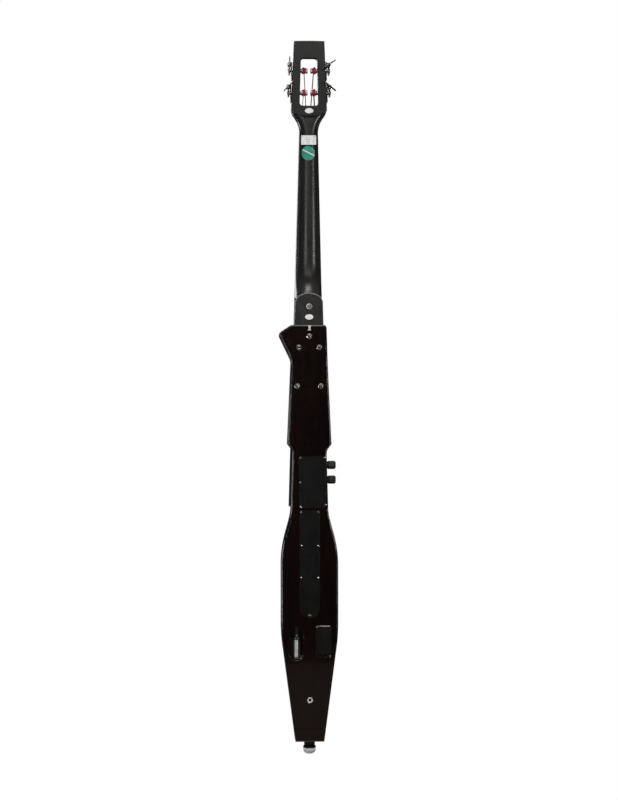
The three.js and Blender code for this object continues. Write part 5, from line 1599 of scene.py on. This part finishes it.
def make_tail_gear():
    post = turned([(0, -17), (2.6, -17), (3, -17.6), (3, -36.2), (6.6, -36.2), (7, -36.6), (7, -37.6),
                   (6.6, -38), (5.8, -38.6), (4.5, -39.2), (0, -39.2)], "y", (0, 0, ANCHOR_Z))
    facing = at(0, 0, ANCHOR_Z) @ Matrix.Rotation(math.pi, 4, "Z")
    post = cut(post, *(moved(arm, facing) for arm in phillips_cut(2.6, 1.6, 39.2)))
    piece("tail_anchor_post", post, STEEL, "steel", replaces="tail_anchor")
    turns = [math.pi * k / 10 for k in range(11)]
    loop = [(4.8 * math.cos(a), -34, ANCHOR_Z - 4.8 * math.sin(a)) for a in turns]
    right = [on_tail(9, 0, -TAIL_LENGTH + 12), on_tail(9, 0, -TAIL_LENGTH - 1), Vector((7, -37, 82))]
    left = [(-x, y, z) for x, y, z in reversed(right)]
    cord = sweep(smoothed([*right, *loop, *left], 4), 1.5, 14)
    piece("tail_cable_cord", cord, RUBBER, "cable_black", replaces="tail_cable")


def make_truss_rod():
    low, high, depth = -559, -15, 4.4
    bar = prism(circle(0, depth, 2.85, 20), low, high - 16, "z", 0.3, 0.3, 2)
    nut = prism(ring(6, 3.0, y=depth), high - 15.6, high, "z", 0.3, 0.5, 2)
    socket = prism(ring(6, 1.6, y=depth), high - 6, high + 2, "z")
    neck_piece("truss_rod_steel", bar, STEEL, "steel", replaces="truss_rod")
    neck_piece("truss_rod_nut", cut(nut, socket), DARK_STEEL, "steel")


# ---------- stickers ----------


def neck_back(x, rise):
    """Depth of the neck's rounded back."""
    half = board_half_width(rise)
    cosine = min(1.0, abs(x) / half) ** (1 / 0.8)
    return eased_depth(rise) * math.sqrt(1 - cosine**2) ** 0.85


def sticker(outline, x, z, surface, thick=0.12):
    """An outline filled with rings and laid at (x, z) on a surface that gives the depth of a point."""
    rings = []
    for scale, lift in ((1.0, -0.1), *((scale, thick) for scale in (1.0, 0.98, 0.8, 0.6, 0.4, 0.2, 0.02))):
        points = [(x + u * scale, z + v * scale) for u, v in outline]
        rings.append([(u, surface(u, v) + lift, v) for u, v in points])
    return skin(rings)


def oval(wide, tall):
    return ring(40, wide / 2, tall / 2)


def dense(points, step):
    """The outline with more points along its sides, so that it can follow a curved surface."""
    made = []
    for a, b in zip(points, points[1:] + points[:1]):
        count = max(1, round(math.dist(a, b) / step))
        made += [(lerp(a[0], b[0], k / count), lerp(a[1], b[1], k / count)) for k in range(count)]
    return made


def make_stickers():
    label = dense(rounded_rect(-17, 17, -10.5, 10.5, 1.0, 3), 1.0)
    neck_piece("head_sticker", sticker(oval(19, 11.5), 0, 4.5, lambda x, z: HEAD_THICKNESS), OVAL_PAPER)
    neck_piece("neck_label", sticker(label, 0, -60, neck_back), LABEL_PAPER)
    foil = teal_foil(on_neck(1, 0, -89.6))
    neck_piece("neck_round_sticker", sticker(oval(30, 32), 1, -89.6, neck_back), foil)
    piece("heel_sticker", sticker(oval(18.5, 12), 0, 984.4, lambda x, z: HEEL_BACK), OVAL_PAPER)


make_insert()
make_endpin()
make_thumbscrew()
make_tail_gear()
make_truss_rod()
make_stickers()
